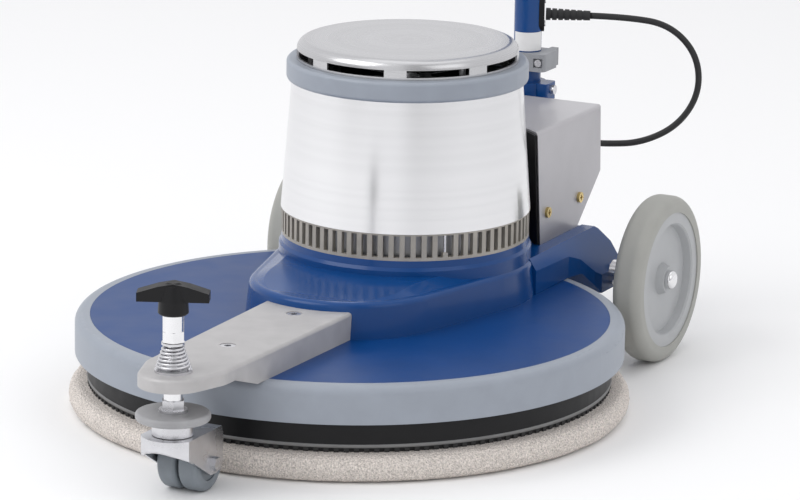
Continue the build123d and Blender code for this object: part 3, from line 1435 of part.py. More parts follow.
def bend_radii(points):
    """Largest bend at each turn that leaves a straight between two neighbours."""
    radii = []
    for before, corner, after in zip(points, points[1:], points[2:]):
        run_in = Vector(*corner) - Vector(*before)
        run_out = Vector(*after) - Vector(*corner)
        half_turn = math.radians(run_in.get_angle(run_out)) / 2
        radii.append(0.45 * min(run_in.length, run_out.length) / math.tan(half_turn))
    return radii


CORD_RADII = bend_radii(CORD_POINTS)
print("cord bend radii", [round(radius, 1) for radius in CORD_RADII])
for first, second in zip(CORD_POINTS, CORD_POINTS[1:]):
    print("cord run", round((Vector(*second) - Vector(*first)).length, 1))

with BuildPart() as link_cord:
    with BuildLine() as cord_line:
        cord_path = FilletPolyline(*CORD_POINTS, radius=CORD_RADII)
    with BuildSketch(Plane(origin=cord_path @ 0, z_dir=cord_path % 0)):
        Circle(CORD_D / 2)
    sweep(path=cord_path)
print("cord length", round(cord_path.length, 1))
print("cord volume", round(link_cord.part.volume, 1))
print("section x length", round(math.pi * (CORD_D / 2) ** 2 * cord_path.length, 1))
save(link_cord, "link_cord")

# ================================================================ handle head
HEAD_MID_Z = (HEAD_TOP_Z + HEAD_BOTTOM_Z) / 2
LEVER_SLOT_H = LEVER_T + 10.0

with BuildPart() as handle_head:
    with Locations((0, TUBE_Y, HEAD_MID_Z)):
        Box(2 * HEAD_HALF_W, 2 * HEAD_HALF_D, HEAD_TOP_Z - HEAD_BOTTOM_Z)
    fillet(handle_head.edges().filter_by(Axis.Y), 16)
    fillet(handle_head.edges().group_by(Axis.Y)[0], 5)
    fillet(handle_head.edges().group_by(Axis.Y)[-1], 5)
    with Locations(Location((0, TUBE_Y, BAR_Z), (0, 90, 0))):
        Cylinder(BAR_R, 2 * BAR_END_X - 8)
    with BuildSketch(Plane.XY.offset(HEAD_BOTTOM_Z)):
        with Locations((0, TUBE_Y)):
            Circle(TUBE_R)
    extrude(amount=TUBE_TOP_Z - HEAD_BOTTOM_Z, mode=Mode.SUBTRACT)
    # slots and pins of the two levers
    for side in (1, -1):
        with Locations((side * HEAD_HALF_W, TUBE_Y, LEVER_Z)):
            Box(40, 14, LEVER_SLOT_H, mode=Mode.SUBTRACT)
        with Locations(Location((side * (HEAD_HALF_W - 10), TUBE_Y, LEVER_Z), (90, 0, 0))):
            Cylinder(LEVER_PIN_R, 20)
    # bore of the lock button in the front face
    with Locations(Location((0, TUBE_Y - HEAD_HALF_D, HEAD_MID_Z + 12), (90, 0, 0))):
        Cylinder(BUTTON_R + 0.1, 24, mode=Mode.SUBTRACT)
save(handle_head, "handle_head")

with BuildPart() as hand_grips:
    for side in (1, -1):
        with BuildSketch(wheel_plane(side, TUBE_Y, BAR_Z)):
            with Locations(((GRIP_START_X + BAR_END_X) / 2, GRIP_R / 2)):
                grip_section = Rectangle(BAR_END_X - GRIP_START_X, GRIP_R)
            fillet(grip_section.vertices().group_by(Axis.Y)[-1], 4)
            with Locations(((GRIP_START_X + BAR_END_X) / 2 - 4, 0)):
                Rectangle(BAR_END_X - GRIP_START_X, 2 * BAR_R, mode=Mode.SUBTRACT)
        revolve(axis=Axis((0, TUBE_Y, BAR_Z), (1, 0, 0)))
save(hand_grips, "hand_grips")


def lever(side):
    """Flat switch lever under a grip, with the eye that turns on its pin."""
    pin_x = HEAD_HALF_W - 10
    with BuildPart() as blade:
        with BuildSketch(Plane.XZ.offset(-TUBE_Y - 6)):
            with Locations((side * (pin_x + LEVER_END_X) / 2, LEVER_Z)):
                Rectangle(LEVER_END_X - pin_x, LEVER_T)
            with Locations((side * pin_x, LEVER_Z)):
                Circle(LEVER_T)
            with Locations((side * LEVER_END_X, LEVER_Z)):
                Circle(LEVER_T)
            with Locations((side * pin_x, LEVER_Z)):
                Circle(LEVER_PIN_R + RUN, mode=Mode.SUBTRACT)
        extrude(amount=12)
    return blade


lever_left = lever(-1)
save(lever_left, "lever_left")

lever_right = lever(1)
save(lever_right, "lever_right")

with BuildPart() as lock_button:
    with Locations(Location((0, TUBE_Y - HEAD_HALF_D + 6, HEAD_MID_Z + 12), (90, 0, 0))):
        Cylinder(BUTTON_R, 6 + BUTTON_TRAVEL + 2, align=(Align.CENTER, Align.CENTER, Align.MIN))
    fillet(lock_button.faces().sort_by(Axis.Y)[0].edges(), 1.5)
save(lock_button, "lock_button")

with BuildPart() as mains_gland:
    with BuildSketch(Plane.XY.offset(HEAD_BOTTOM_Z)):
        with Locations((42, TUBE_Y)):
            Circle(10)
            Circle(MAINS_BORE_R, mode=Mode.SUBTRACT)
    extrude(amount=-9)
    with BuildSketch(Plane.XY.offset(HEAD_BOTTOM_Z - 9)):
        with Locations((42, TUBE_Y)):
            Circle(7.5)
            Circle(MAINS_BORE_R, mode=Mode.SUBTRACT)
    extrude(amount=-14)
save(mains_gland, "mains_gland")

with BuildPart() as upper_hook:
    # a ring that turns on the tube, and an arm with an upturned end
    with BuildSketch(Plane.XY.offset(UPPER_HOOK_Z)):
        with Locations((0, TUBE_Y)):
            Circle(TUBE_R + 6)
        with Locations((0, TUBE_Y + 30)):
            Rectangle(14, 44)
        with Locations((0, TUBE_Y + 52)):
            Rectangle(50, 8)
        with Locations((0, TUBE_Y)):
            Circle(TUBE_R + RUN, mode=Mode.SUBTRACT)
    extrude(amount=12)
    with BuildSketch(Plane.XY.offset(UPPER_HOOK_Z)):
        with Locations((-21, TUBE_Y + 52), (21, TUBE_Y + 52)):
            Rectangle(8, 8)
    extrude(amount=26)
save(upper_hook, "upper_hook")
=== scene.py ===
"""Blender scene of a single-disc floor machine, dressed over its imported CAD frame."""

import logging
import math
from dataclasses import dataclass, field
from enum import Enum

import bmesh
import bpy
from mathutils import Matrix, Vector, noise

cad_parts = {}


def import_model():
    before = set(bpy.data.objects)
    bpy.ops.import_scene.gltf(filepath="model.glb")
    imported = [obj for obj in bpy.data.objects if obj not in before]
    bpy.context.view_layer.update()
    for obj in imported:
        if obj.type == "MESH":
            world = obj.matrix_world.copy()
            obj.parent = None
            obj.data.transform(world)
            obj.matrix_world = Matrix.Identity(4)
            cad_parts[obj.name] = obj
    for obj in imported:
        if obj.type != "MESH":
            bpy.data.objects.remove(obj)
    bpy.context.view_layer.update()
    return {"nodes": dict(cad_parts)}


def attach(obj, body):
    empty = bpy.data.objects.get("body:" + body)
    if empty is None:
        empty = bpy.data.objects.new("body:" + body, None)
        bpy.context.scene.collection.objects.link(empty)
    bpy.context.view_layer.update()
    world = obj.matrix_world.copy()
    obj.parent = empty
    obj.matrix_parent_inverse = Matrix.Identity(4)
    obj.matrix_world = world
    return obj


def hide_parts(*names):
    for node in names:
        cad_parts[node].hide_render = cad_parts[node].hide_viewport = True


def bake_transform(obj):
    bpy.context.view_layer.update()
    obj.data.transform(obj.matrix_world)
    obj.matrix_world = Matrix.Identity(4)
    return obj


LOG = logging.getLogger("floor_machine")

Point = tuple[float, float, float]
PlanPoint = tuple[float, float]
Colour = tuple[float, float, float]
Ring = list[bmesh.types.BMVert]

FULL_TURN = 2 * math.pi

COAT_ROUGHNESS = 0.06
FINE_DETAIL = 3.0
BROAD_DETAIL = 4.0
BROAD_SHARE = 0.06
CELL_SHARE = 0.7
MOTTLE_SPAN = (0.3, 0.7)
GLOSS_SPAN = (0.8, 1.25)
LEAST_ROUGHNESS = 0.03


class Grain(Enum):
    """How a finish's pattern runs: even, in small cells, in rings round an axis, or as fibres."""

    EVEN = "even"
    CAST = "cast"
    TURNED = "turned"
    FIBRE = "fibre"


@dataclass(frozen=True)
class Finish:
    """One surface finish: its colour, its gloss and the relief that breaks it up."""

    name: str
    colour: Colour
    roughness: float
    metallic: float = 0.0
    coat: float = 0.0
    sheen: float = 0.5
    grain: Grain = Grain.EVEN
    scale: float = 400.0
    relief: float = 0.1
    depth: float = 0.0002
    mottle: float = 0.12
    axis: Point = (0.0, 0.0, 0.0)

    def build(self) -> bpy.types.Material:
        """Make the material.

        Returns:
            The material with its shader nodes linked.
        """
        material = bpy.data.materials.new(self.name)
        material.use_nodes = True
        tree = material.node_tree
        shader = tree.nodes["Principled BSDF"]
        shader.inputs["Base Color"].default_value = (*self.colour, 1.0)
        shader.inputs["Roughness"].default_value = self.roughness
        shader.inputs["Metallic"].default_value = self.metallic
        shader.inputs["Specular IOR Level"].default_value = self.sheen
        shader.inputs["Coat Weight"].default_value = self.coat
        shader.inputs["Coat Roughness"].default_value = COAT_ROUGHNESS
        place = tree.nodes.new("ShaderNodeTexCoord").outputs["Object"]
        if self.grain is Grain.TURNED:
            place = self._round_the_axis(tree, place)
        fine = self._noise(tree, place, self.scale, FINE_DETAIL)
        broad = self._noise(tree, place, self.scale * BROAD_SHARE, BROAD_DETAIL)
        self._vary_colour(tree, shader, fine if self.grain is Grain.FIBRE else broad)
        self._vary_roughness(tree, shader, fine, broad)
        bump = tree.nodes.new("ShaderNodeBump")
        bump.inputs["Strength"].default_value = self.relief
        bump.inputs["Distance"].default_value = self.depth
        height = fine
        if self.grain in (Grain.FIBRE, Grain.CAST):
            cells = tree.nodes.new("ShaderNodeTexVoronoi")
            cells.inputs["Scale"].default_value = self.scale * CELL_SHARE
            tree.links.new(place, cells.inputs["Vector"])
            add = tree.nodes.new("ShaderNodeMath")
            add.operation = "ADD"
            tree.links.new(fine, add.inputs[0])
            tree.links.new(cells.outputs["Distance"], add.inputs[1])
            height = add.outputs["Value"]
        tree.links.new(height, bump.inputs["Height"])
        tree.links.new(bump.outputs["Normal"], shader.inputs["Normal"])
        return material

    def _round_the_axis(
        self, tree: bpy.types.NodeTree, place: bpy.types.NodeSocket
    ) -> bpy.types.NodeSocket:
        """Stretch the pattern into rings round the upright axis at self.axis.

        Args:
            tree: The material's node tree.
            place: The object coordinates.

        Returns:
            A vector of radius and height.
        """
        shift = tree.nodes.new("ShaderNodeVectorMath")
        shift.operation = "SUBTRACT"
        tree.links.new(place, shift.inputs[0])
        shift.inputs[1].default_value = self.axis
        parts = tree.nodes.new("ShaderNodeSeparateXYZ")
        tree.links.new(shift.outputs["Vector"], parts.inputs["Vector"])
        flat = tree.nodes.new("ShaderNodeCombineXYZ")
        tree.links.new(parts.outputs["X"], flat.inputs["X"])
        tree.links.new(parts.outputs["Y"], flat.inputs["Y"])
        length = tree.nodes.new("ShaderNodeVectorMath")
        length.operation = "LENGTH"
        tree.links.new(flat.outputs["Vector"], length.inputs[0])
        rings = tree.nodes.new("ShaderNodeCombineXYZ")
        tree.links.new(length.outputs["Value"], rings.inputs["X"])
        tree.links.new(parts.outputs["Z"], rings.inputs["Z"])
        return rings.outputs["Vector"]

    def _noise(
        self,
        tree: bpy.types.NodeTree,
        place: bpy.types.NodeSocket,
        scale: float,
        detail: float,
    ) -> bpy.types.NodeSocket:
        """Add a noise pattern.

        Args:
            tree: The material's node tree.
            place: The coordinates that the pattern reads.
            scale: Waves per metre.
            detail: Octaves of finer waves.

        Returns:
            The pattern's value.
        """
        pattern = tree.nodes.new("ShaderNodeTexNoise")
        pattern.inputs["Scale"].default_value = scale
        pattern.inputs["Detail"].default_value = detail
        tree.links.new(place, pattern.inputs["Vector"])
        return pattern.outputs["Fac"]

    def _vary_colour(
        self,
        tree: bpy.types.NodeTree,
        shader: bpy.types.Node,
        pattern: bpy.types.NodeSocket,
    ) -> None:
        """Drift the colour a little darker and lighter.

        Args:
            tree: The material's node tree.
            shader: The surface shader.
            pattern: What the colour follows.
        """
        ramp = tree.nodes.new("ShaderNodeValToRGB")
        low, high = ramp.color_ramp.elements
        low.position, high.position = MOTTLE_SPAN
        low.color = (*[c * (1 - self.mottle) for c in self.colour], 1.0)
        high.color = (*[min(1.0, c * (1 + self.mottle)) for c in self.colour], 1.0)
        tree.links.new(pattern, ramp.inputs["Fac"])
        tree.links.new(ramp.outputs["Color"], shader.inputs["Base Color"])

    def _vary_roughness(
        self,
        tree: bpy.types.NodeTree,
        shader: bpy.types.Node,
        fine: bpy.types.NodeSocket,
        broad: bpy.types.NodeSocket,
    ) -> None:
        """Drift the gloss, finely on turned metal and broadly elsewhere.

        Args:
            tree: The material's node tree.
            shader: The surface shader.
            fine: The fine pattern.
            broad: The broad pattern.
        """
        spread = tree.nodes.new("ShaderNodeMapRange")
        least = max(LEAST_ROUGHNESS, self.roughness * GLOSS_SPAN[0])
        spread.inputs["To Min"].default_value = least
        spread.inputs["To Max"].default_value = min(1.0, self.roughness * GLOSS_SPAN[1])
        source = fine if self.grain is Grain.TURNED else broad
        tree.links.new(source, spread.inputs["Value"])
        tree.links.new(spread.outputs["Result"], shader.inputs["Roughness"])


MOTOR_AXIS: Point = (0.0, 0.1092, 0.0)
DISC_AXIS: PlanPoint = (0.0, 0.0)

FINISHES: dict[str, Finish] = {
    "blue_paint": Finish(
        "deep blue paint", (0.0012, 0.052, 0.21), 0.24, coat=0.12, sheen=0.3,
        scale=260, relief=0.12, depth=0.0002, mottle=0.06,
    ),
    "deck_paint": Finish(
        "deck blue paint", (0.0006, 0.045, 0.19), 0.36, sheen=0.22,
        scale=420, relief=0.06, depth=0.0001, mottle=0.05,
    ),
    "bumper_grey": Finish(
        "bumper grey", (0.30, 0.33, 0.38), 0.42, scale=700, relief=0.05, depth=0.0001, mottle=0.04,
    ),
    "cast_alloy": Finish(
        "satin cast alloy", (0.47, 0.46, 0.46), 0.46, metallic=0.25,
        grain=Grain.CAST, scale=900, relief=0.12, depth=0.0001, mottle=0.07,
    ),
    "zinc": Finish(
        "bright zinc", (0.66, 0.66, 0.68), 0.27, metallic=1.0,
        scale=500, relief=0.08, depth=0.0001, mottle=0.12,
    ),
    "grille_paint": Finish(
        "grille casting", (0.42, 0.39, 0.34), 0.45, metallic=0.35,
        grain=Grain.CAST, scale=800, relief=0.15, depth=0.0001, mottle=0.12,
    ),
    "polished_steel": Finish(
        "polished sleeve steel", (0.80, 0.80, 0.81), 0.2, metallic=1.0,
        grain=Grain.TURNED, scale=2500, relief=0.02, depth=0.00003, mottle=0.03, axis=MOTOR_AXIS,
    ),
    "cap_steel": Finish(
        "brushed cap steel", (0.56, 0.56, 0.57), 0.27, metallic=1.0,
        grain=Grain.TURNED, scale=1500, relief=0.06, depth=0.00005, mottle=0.05, axis=MOTOR_AXIS,
    ),
    "motor_alloy": Finish(
        "motor alloy", (0.45, 0.45, 0.46), 0.45, metallic=0.8,
        grain=Grain.CAST, scale=600, relief=0.15, depth=0.0002,
    ),
    "lamination": Finish(
        "varnished laminations", (0.16, 0.12, 0.09), 0.5, metallic=0.4, scale=900, relief=0.2,
    ),
    "belt_rubber": Finish("belt rubber", (0.02, 0.02, 0.02), 0.75, scale=900, relief=0.2),
    "cover_paint": Finish(
        "cover paint", (0.47, 0.46, 0.48), 0.34, metallic=0.2, coat=0.15,
        scale=600, relief=0.05, depth=0.0001, mottle=0.04,
    ),
    "black_rubber": Finish("black rubber", (0.012, 0.012, 0.013), 0.55, scale=900, relief=0.12),
    "yellow_zinc": Finish(
        "yellow zinc", (0.62, 0.48, 0.2), 0.3, metallic=1.0,
        scale=300, relief=0.05, mottle=0.25,
    ),
    "black_plastic": Finish(
        "black plastic", (0.004, 0.004, 0.005), 0.45, sheen=0.3, scale=1200, relief=0.1, depth=0.0001,
    ),
    "chromed": Finish(
        "bright plate", (0.82, 0.82, 0.83), 0.14, metallic=1.0,
        scale=700, relief=0.02, depth=0.00005, mottle=0.04,
    ),
    "pad_fibre": Finish(
        "pad fibre", (0.74, 0.68, 0.63), 0.95,
        grain=Grain.FIBRE, scale=700, relief=0.9, depth=0.0016, mottle=0.35,
    ),
    "buffer_grey": Finish("buffer grey", (0.33, 0.33, 0.34), 0.45, scale=700, relief=0.08),
    "caster_grey": Finish("caster grey", (0.20, 0.225, 0.25), 0.45, scale=600, relief=0.1),
    "tyre_grey": Finish(
        "tyre grey", (0.37, 0.37, 0.345), 0.6, scale=700, relief=0.12, mottle=0.05,
    ),
    "rim_grey": Finish(
        "rim grey", (0.42, 0.43, 0.44), 0.42, scale=600, relief=0.06, depth=0.0001, mottle=0.04,
    ),
    "handle_steel": Finish(
        "handle blue paint", (0.0012, 0.052, 0.21), 0.24, coat=0.15, sheen=0.3,
        scale=400, relief=0.06, depth=0.0001, mottle=0.06,
    ),
    "label_white": Finish(
        "blank label film", (0.80, 0.80, 0.80), 0.35, scale=900, relief=0.02, mottle=0.02,
    ),
    "bracket_grey": Finish("bracket grey", (0.30, 0.31, 0.33), 0.48, scale=900, relief=0.1),
    "yellow_plastic": Finish("yellow plastic", (0.70, 0.42, 0.03), 0.35, scale=900, relief=0.05),
    "driver_trim": Finish("driver trim", (0.20, 0.20, 0.20), 0.5, scale=800, relief=0.1),
    "bristle": Finish("bristle", (0.02, 0.02, 0.02), 0.6, scale=1500, relief=0.2),
}


class Paintbox:
    """Builds each finish once and hands it out."""

    def __init__(self) -> None:
        """Start with no material made."""
        self.made: dict[str, bpy.types.Material] = {}

    def get(self, name: str) -> bpy.types.Material:
        """Return a finish's material, made on first use.

        Args:
            name: The finish's key.

        Returns:
            The material.
        """
        if name not in self.made:
            self.made[name] = FINISHES[name].build()
        return self.made[name]

    def dress(self, obj: bpy.types.Object, name: str) -> bpy.types.Object:
        """Give an object one finish all over.

        Args:
            obj: A mesh or curve object.
            name: The finish's key.

        Returns:
            The same object.
        """
        obj.data.materials.clear()
        obj.data.materials.append(self.get(name))
        return obj


def new_piece(name: str, mesh: bpy.types.Mesh) -> bpy.types.Object:
    """Link a mesh into the scene as a piece.

    Args:
        name: The piece's name.
        mesh: Its mesh.

    Returns:
        The new object.
    """
    piece = bpy.data.objects.new(name, mesh)
    bpy.context.scene.collection.objects.link(piece)
    return piece


def finish_mesh(name: str, build: bmesh.types.BMesh, smooth: bool = False) -> bpy.types.Object:
    """Turn a mesh in the making into a piece.

    Args:
        name: The piece's name.
        build: The mesh in the making, which is freed.
        smooth: Whether every face is shaded smooth.

    Returns:
        The new piece.
    """
    mesh = bpy.data.meshes.new(name)
    build.to_mesh(mesh)
    build.free()
    if smooth:
        mesh.polygons.foreach_set("use_smooth", [True] * len(mesh.polygons))
    return new_piece(name, mesh)


def skin_wire(name: str, build: bmesh.types.BMesh, rings: list[Ring]) -> bpy.types.Object:
    """Close a round skin over rings of corners, from one end of a wire to the other.

    Args:
        name: The piece's name.
        build: The mesh that holds the rings.
        rings: The rings in order, each with as many corners.

    Returns:
        The new piece, closed at both ends.
    """
    count = len(rings[0])
    for here, there in zip(rings, rings[1:]):
        for corner in range(count):
            after = (corner + 1) % count
            build.faces.new((here[corner], here[after], there[after], there[corner]))
    build.faces.new(rings[0])
    build.faces.new(rings[-1])
    bmesh.ops.recalc_face_normals(build, faces=build.faces)
    return finish_mesh(name, build, smooth=True)


def lathe(
    name: str, profile: list[tuple[float, float]], centre: PlanPoint, turns: int = 256
) -> bpy.types.Object:
    """Turn a closed profile of radius and height about an upright axis.

    Args:
        name: The piece's name.
        profile: Radius and height of each corner, in metres.
        centre: The axis in plan.
        turns: Steps round the circle.

    Returns:
        The new piece.
    """
    build = bmesh.new()
    rings = []
    for step in range(turns):
        angle = FULL_TURN * step / turns
        rings.append(
            [
                build.verts.new(
                    (centre[0] + r * math.cos(angle), centre[1] + r * math.sin(angle), z)
                )
                for r, z in profile
            ]
        )
    count = len(profile)
    for step in range(turns):
        here, there = rings[step], rings[(step + 1) % turns]
        for corner in range(count):
            after = (corner + 1) % count
            build.faces.new((here[corner], there[corner], there[after], here[after]))
    bmesh.ops.recalc_face_normals(build, faces=build.faces)
    return finish_mesh(name, build, smooth=True)


@dataclass(frozen=True)
class Softbox:
    """One square softbox: its name, where it hangs, its side and its power in watts."""

    name: str
    place: Point
    size: float
    power: float


@dataclass
class Studio:
    """Floor, lights and camera."""

    floor_size: float = 14.0
    floor_shade: float = 0.92
    floor_roughness: float = 0.9
    camera_place: Point = (1.8091, -3.5579, 1.1463)
    camera_turn: float = math.radians(26.3217)
    camera_pitch: float = 0.246
    camera_roll: float = 0.015
    lens: float = 206.249
    sensor_width: float = 36.0
    sight: float = 50.0
    sky_strength: float = 1.0
    sky_blue: float = 1.02
    wall_levels: tuple[tuple[float, float], ...] = (
        (0.001, 0.95),
        (0.10, 0.80),
        (0.17, 0.45),
        (0.215, 0.90),
        (0.30, 1.0),
        (0.345, 0.42),
        (0.40, 0.60),
        (0.50, 0.85),
        (0.999, 0.95),
    )
    aim: Point = (0.0, 0.05, 0.15)
    softboxes: tuple[Softbox, ...] = (
        Softbox("key", (-1.6, -1.9, 2.6), 2.2, 42.0),
        Softbox("fill", (2.6, -0.9, 2.0), 2.0, 9.0),
        Softbox("top", (0.0, 0.4, 3.2), 2.6, 9.0),
    )

    def build(self) -> None:
        """Make the floor, the world, the lights and the camera."""
        self._camera()
        self._floor()
        self._world()
        for box in self.softboxes:
            self._hang(box)

    def _camera(self) -> None:
        """Place the camera ahead of the machine, a little to one side and above."""
        turn, pitch, roll = self.camera_turn, self.camera_pitch, self.camera_roll
        forward = Vector(
            (
                -math.sin(turn) * math.cos(pitch),
                math.cos(turn) * math.cos(pitch),
                -math.sin(pitch),
            )
        )
        right = Vector((math.cos(turn), math.sin(turn), 0.0))
        up = right.cross(forward)
        across = right * math.cos(roll) + up * math.sin(roll)
        upright = up * math.cos(roll) - right * math.sin(roll)
        data = bpy.data.cameras.new("camera")
        data.lens = self.lens
        data.sensor_width = self.sensor_width
        data.clip_end = self.sight
        camera = bpy.data.objects.new("camera", data)
        axes = Matrix((across, upright, -forward)).transposed()
        camera.matrix_world = Matrix.Translation(self.camera_place) @ axes.to_4x4()
        bpy.context.scene.collection.objects.link(camera)
        bpy.context.scene.camera = camera

    def _floor(self) -> None:
        """Lay the pale floor."""
        half = self.floor_size / 2
        mesh = bpy.data.meshes.new("floor")
        mesh.from_pydata(
            [(-half, -half, 0), (half, -half, 0), (half, half, 0), (-half, half, 0)],
            [],
            [(0, 1, 2, 3)],
        )
        floor = new_piece("floor", mesh)
        material = bpy.data.materials.new("pale floor")
        material.use_nodes = True
        shader = material.node_tree.nodes["Principled BSDF"]
        shade = self.floor_shade
        shader.inputs["Base Color"].default_value = (shade, shade, shade, 1.0)
        shader.inputs["Roughness"].default_value = self.floor_roughness
        floor.data.materials.append(material)

    def _world(self) -> None:
        """Light the surroundings and show colours as they are."""
        world = bpy.data.worlds.new("studio")
        world.use_nodes = True
        background = world.node_tree.nodes["Background"]
        self._sky(world.node_tree, background)
        background.inputs["Strength"].default_value = self.sky_strength
        bpy.context.scene.world = world
        bpy.context.scene.view_settings.view_transform = "Standard"

    def _sky(self, tree: bpy.types.NodeTree, background: bpy.types.Node) -> None:
        """Shade the surroundings: bright above, with two dark walls that bright metal mirrors.

        Args:
            tree: The world's node tree.
            background: Its background shader.
        """
        place = tree.nodes.new("ShaderNodeTexCoord").outputs["Generated"]
        parts = tree.nodes.new("ShaderNodeSeparateXYZ")
        tree.links.new(place, parts.inputs["Vector"])
        around = tree.nodes.new("ShaderNodeMath")
        around.operation = "ARCTAN2"
        tree.links.new(parts.outputs["Y"], around.inputs[0])
        tree.links.new(parts.outputs["X"], around.inputs[1])
        share = tree.nodes.new("ShaderNodeMapRange")
        share.inputs["From Min"].default_value = -math.pi
        share.inputs["From Max"].default_value = math.pi
        tree.links.new(around.outputs["Value"], share.inputs["Value"])
        ramp = tree.nodes.new("ShaderNodeValToRGB")
        steps = ramp.color_ramp.elements
        for place_round, level in self.wall_levels:
            step = steps.new(place_round)
            step.color = (level, level, level * self.sky_blue, 1.0)
        steps.remove(steps[0])
        steps.remove(steps[-1])
        tree.links.new(share.outputs["Result"], ramp.inputs["Fac"])
        tree.links.new(ramp.outputs["Color"], background.inputs["Color"])

    def _hang(self, box: Softbox) -> None:
        """Hang one softbox, aimed at the machine.

        Args:
            box: The softbox.
        """
        data = bpy.data.lights.new(box.name, "AREA")
        data.energy = box.power
        data.size = box.size
        lamp = bpy.data.objects.new(box.name, data)
        down = Vector(self.aim) - Vector(box.place)
        turn = down.to_track_quat("-Z", "Y").to_matrix().to_4x4()
        lamp.matrix_world = Matrix.Translation(box.place) @ turn
        bpy.context.scene.collection.objects.link(lamp)


@dataclass
class LinkCord:
    """The cord from the handle's outlet to the electrics cover."""

    diameter: float = 0.0062
    facets: int = 20
    line_steps: int = 16
    line_order: int = 3
    route: list[Point] = field(
        default_factory=lambda: [
            (0.05325, 0.39532, 0.29580),
            (0.08660, 0.41180, 0.29479),
            (0.12190, 0.42930, 0.28800),
            (0.14610, 0.44130, 0.26000),
            (0.14970, 0.44300, 0.22200),
            (0.13180, 0.43420, 0.18900),
            (0.10040, 0.41870, 0.17150),
            (0.06810, 0.40270, 0.17000),
            (0.05600, 0.38100, 0.17500),
            (0.05600, 0.36100, 0.17500),
        ]
    )

    def build(self, paint: Paintbox) -> None:
        """Args:
            paint: Where finishes come from.
        """
        line = self._centre_line()
        cord = self._tube(line)
        paint.dress(cord, "black_rubber")
        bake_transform(cord)
        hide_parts("link_cord")

    def _centre_line(self) -> list[Vector]:
        """Read the smooth line that the route's spline gives.

        Returns:
            Points along the line, from the handle to the cover.
        """
        data = bpy.data.curves.new("cord_route", "CURVE")
        data.dimensions = "3D"
        data.resolution_u = self.line_steps
        spline = data.splines.new("NURBS")
        spline.points.add(len(self.route) - 1)
        for knot, place in zip(spline.points, self.route):
            knot.co = (*place, 1.0)
        spline.order_u = self.line_order
        spline.use_endpoint_u = True
        route = bpy.data.objects.new("cord_route", data)
        bpy.context.scene.collection.objects.link(route)
        bpy.context.view_layer.update()
        mesh = bpy.data.meshes.new_from_object(route)
        line = [vertex.co.copy() for vertex in mesh.vertices]
        bpy.data.objects.remove(route)
        bpy.data.meshes.remove(mesh)
        outlet = Vector(self.route[0])
        if (line[0] - outlet).length > (line[-1] - outlet).length:
            line.reverse()
        return line

    def _tube(self, line: list[Vector]) -> bpy.types.Object:
        """Wrap a round skin about the line.

        Args:
            line: The centre line.

        Returns:
            The closed tube.
        """
        build = bmesh.new()
        side = Vector((0.0, 0.0, 1.0))
        rings = []
        for index, place in enumerate(line):
            ahead = line[min(index + 1, len(line) - 1)] - line[max(index - 1, 0)]
            ahead.normalize()
            side = (side - ahead * side.dot(ahead)).normalized()
            other = ahead.cross(side)
            ring = []
            for step in range(self.facets):
                angle = FULL_TURN * step / self.facets
                reach = side * math.cos(angle) + other * math.sin(angle)
                ring.append(build.verts.new(place + reach * self.diameter / 2))
            rings.append(ring)
        return skin_wire("cord", build, rings)


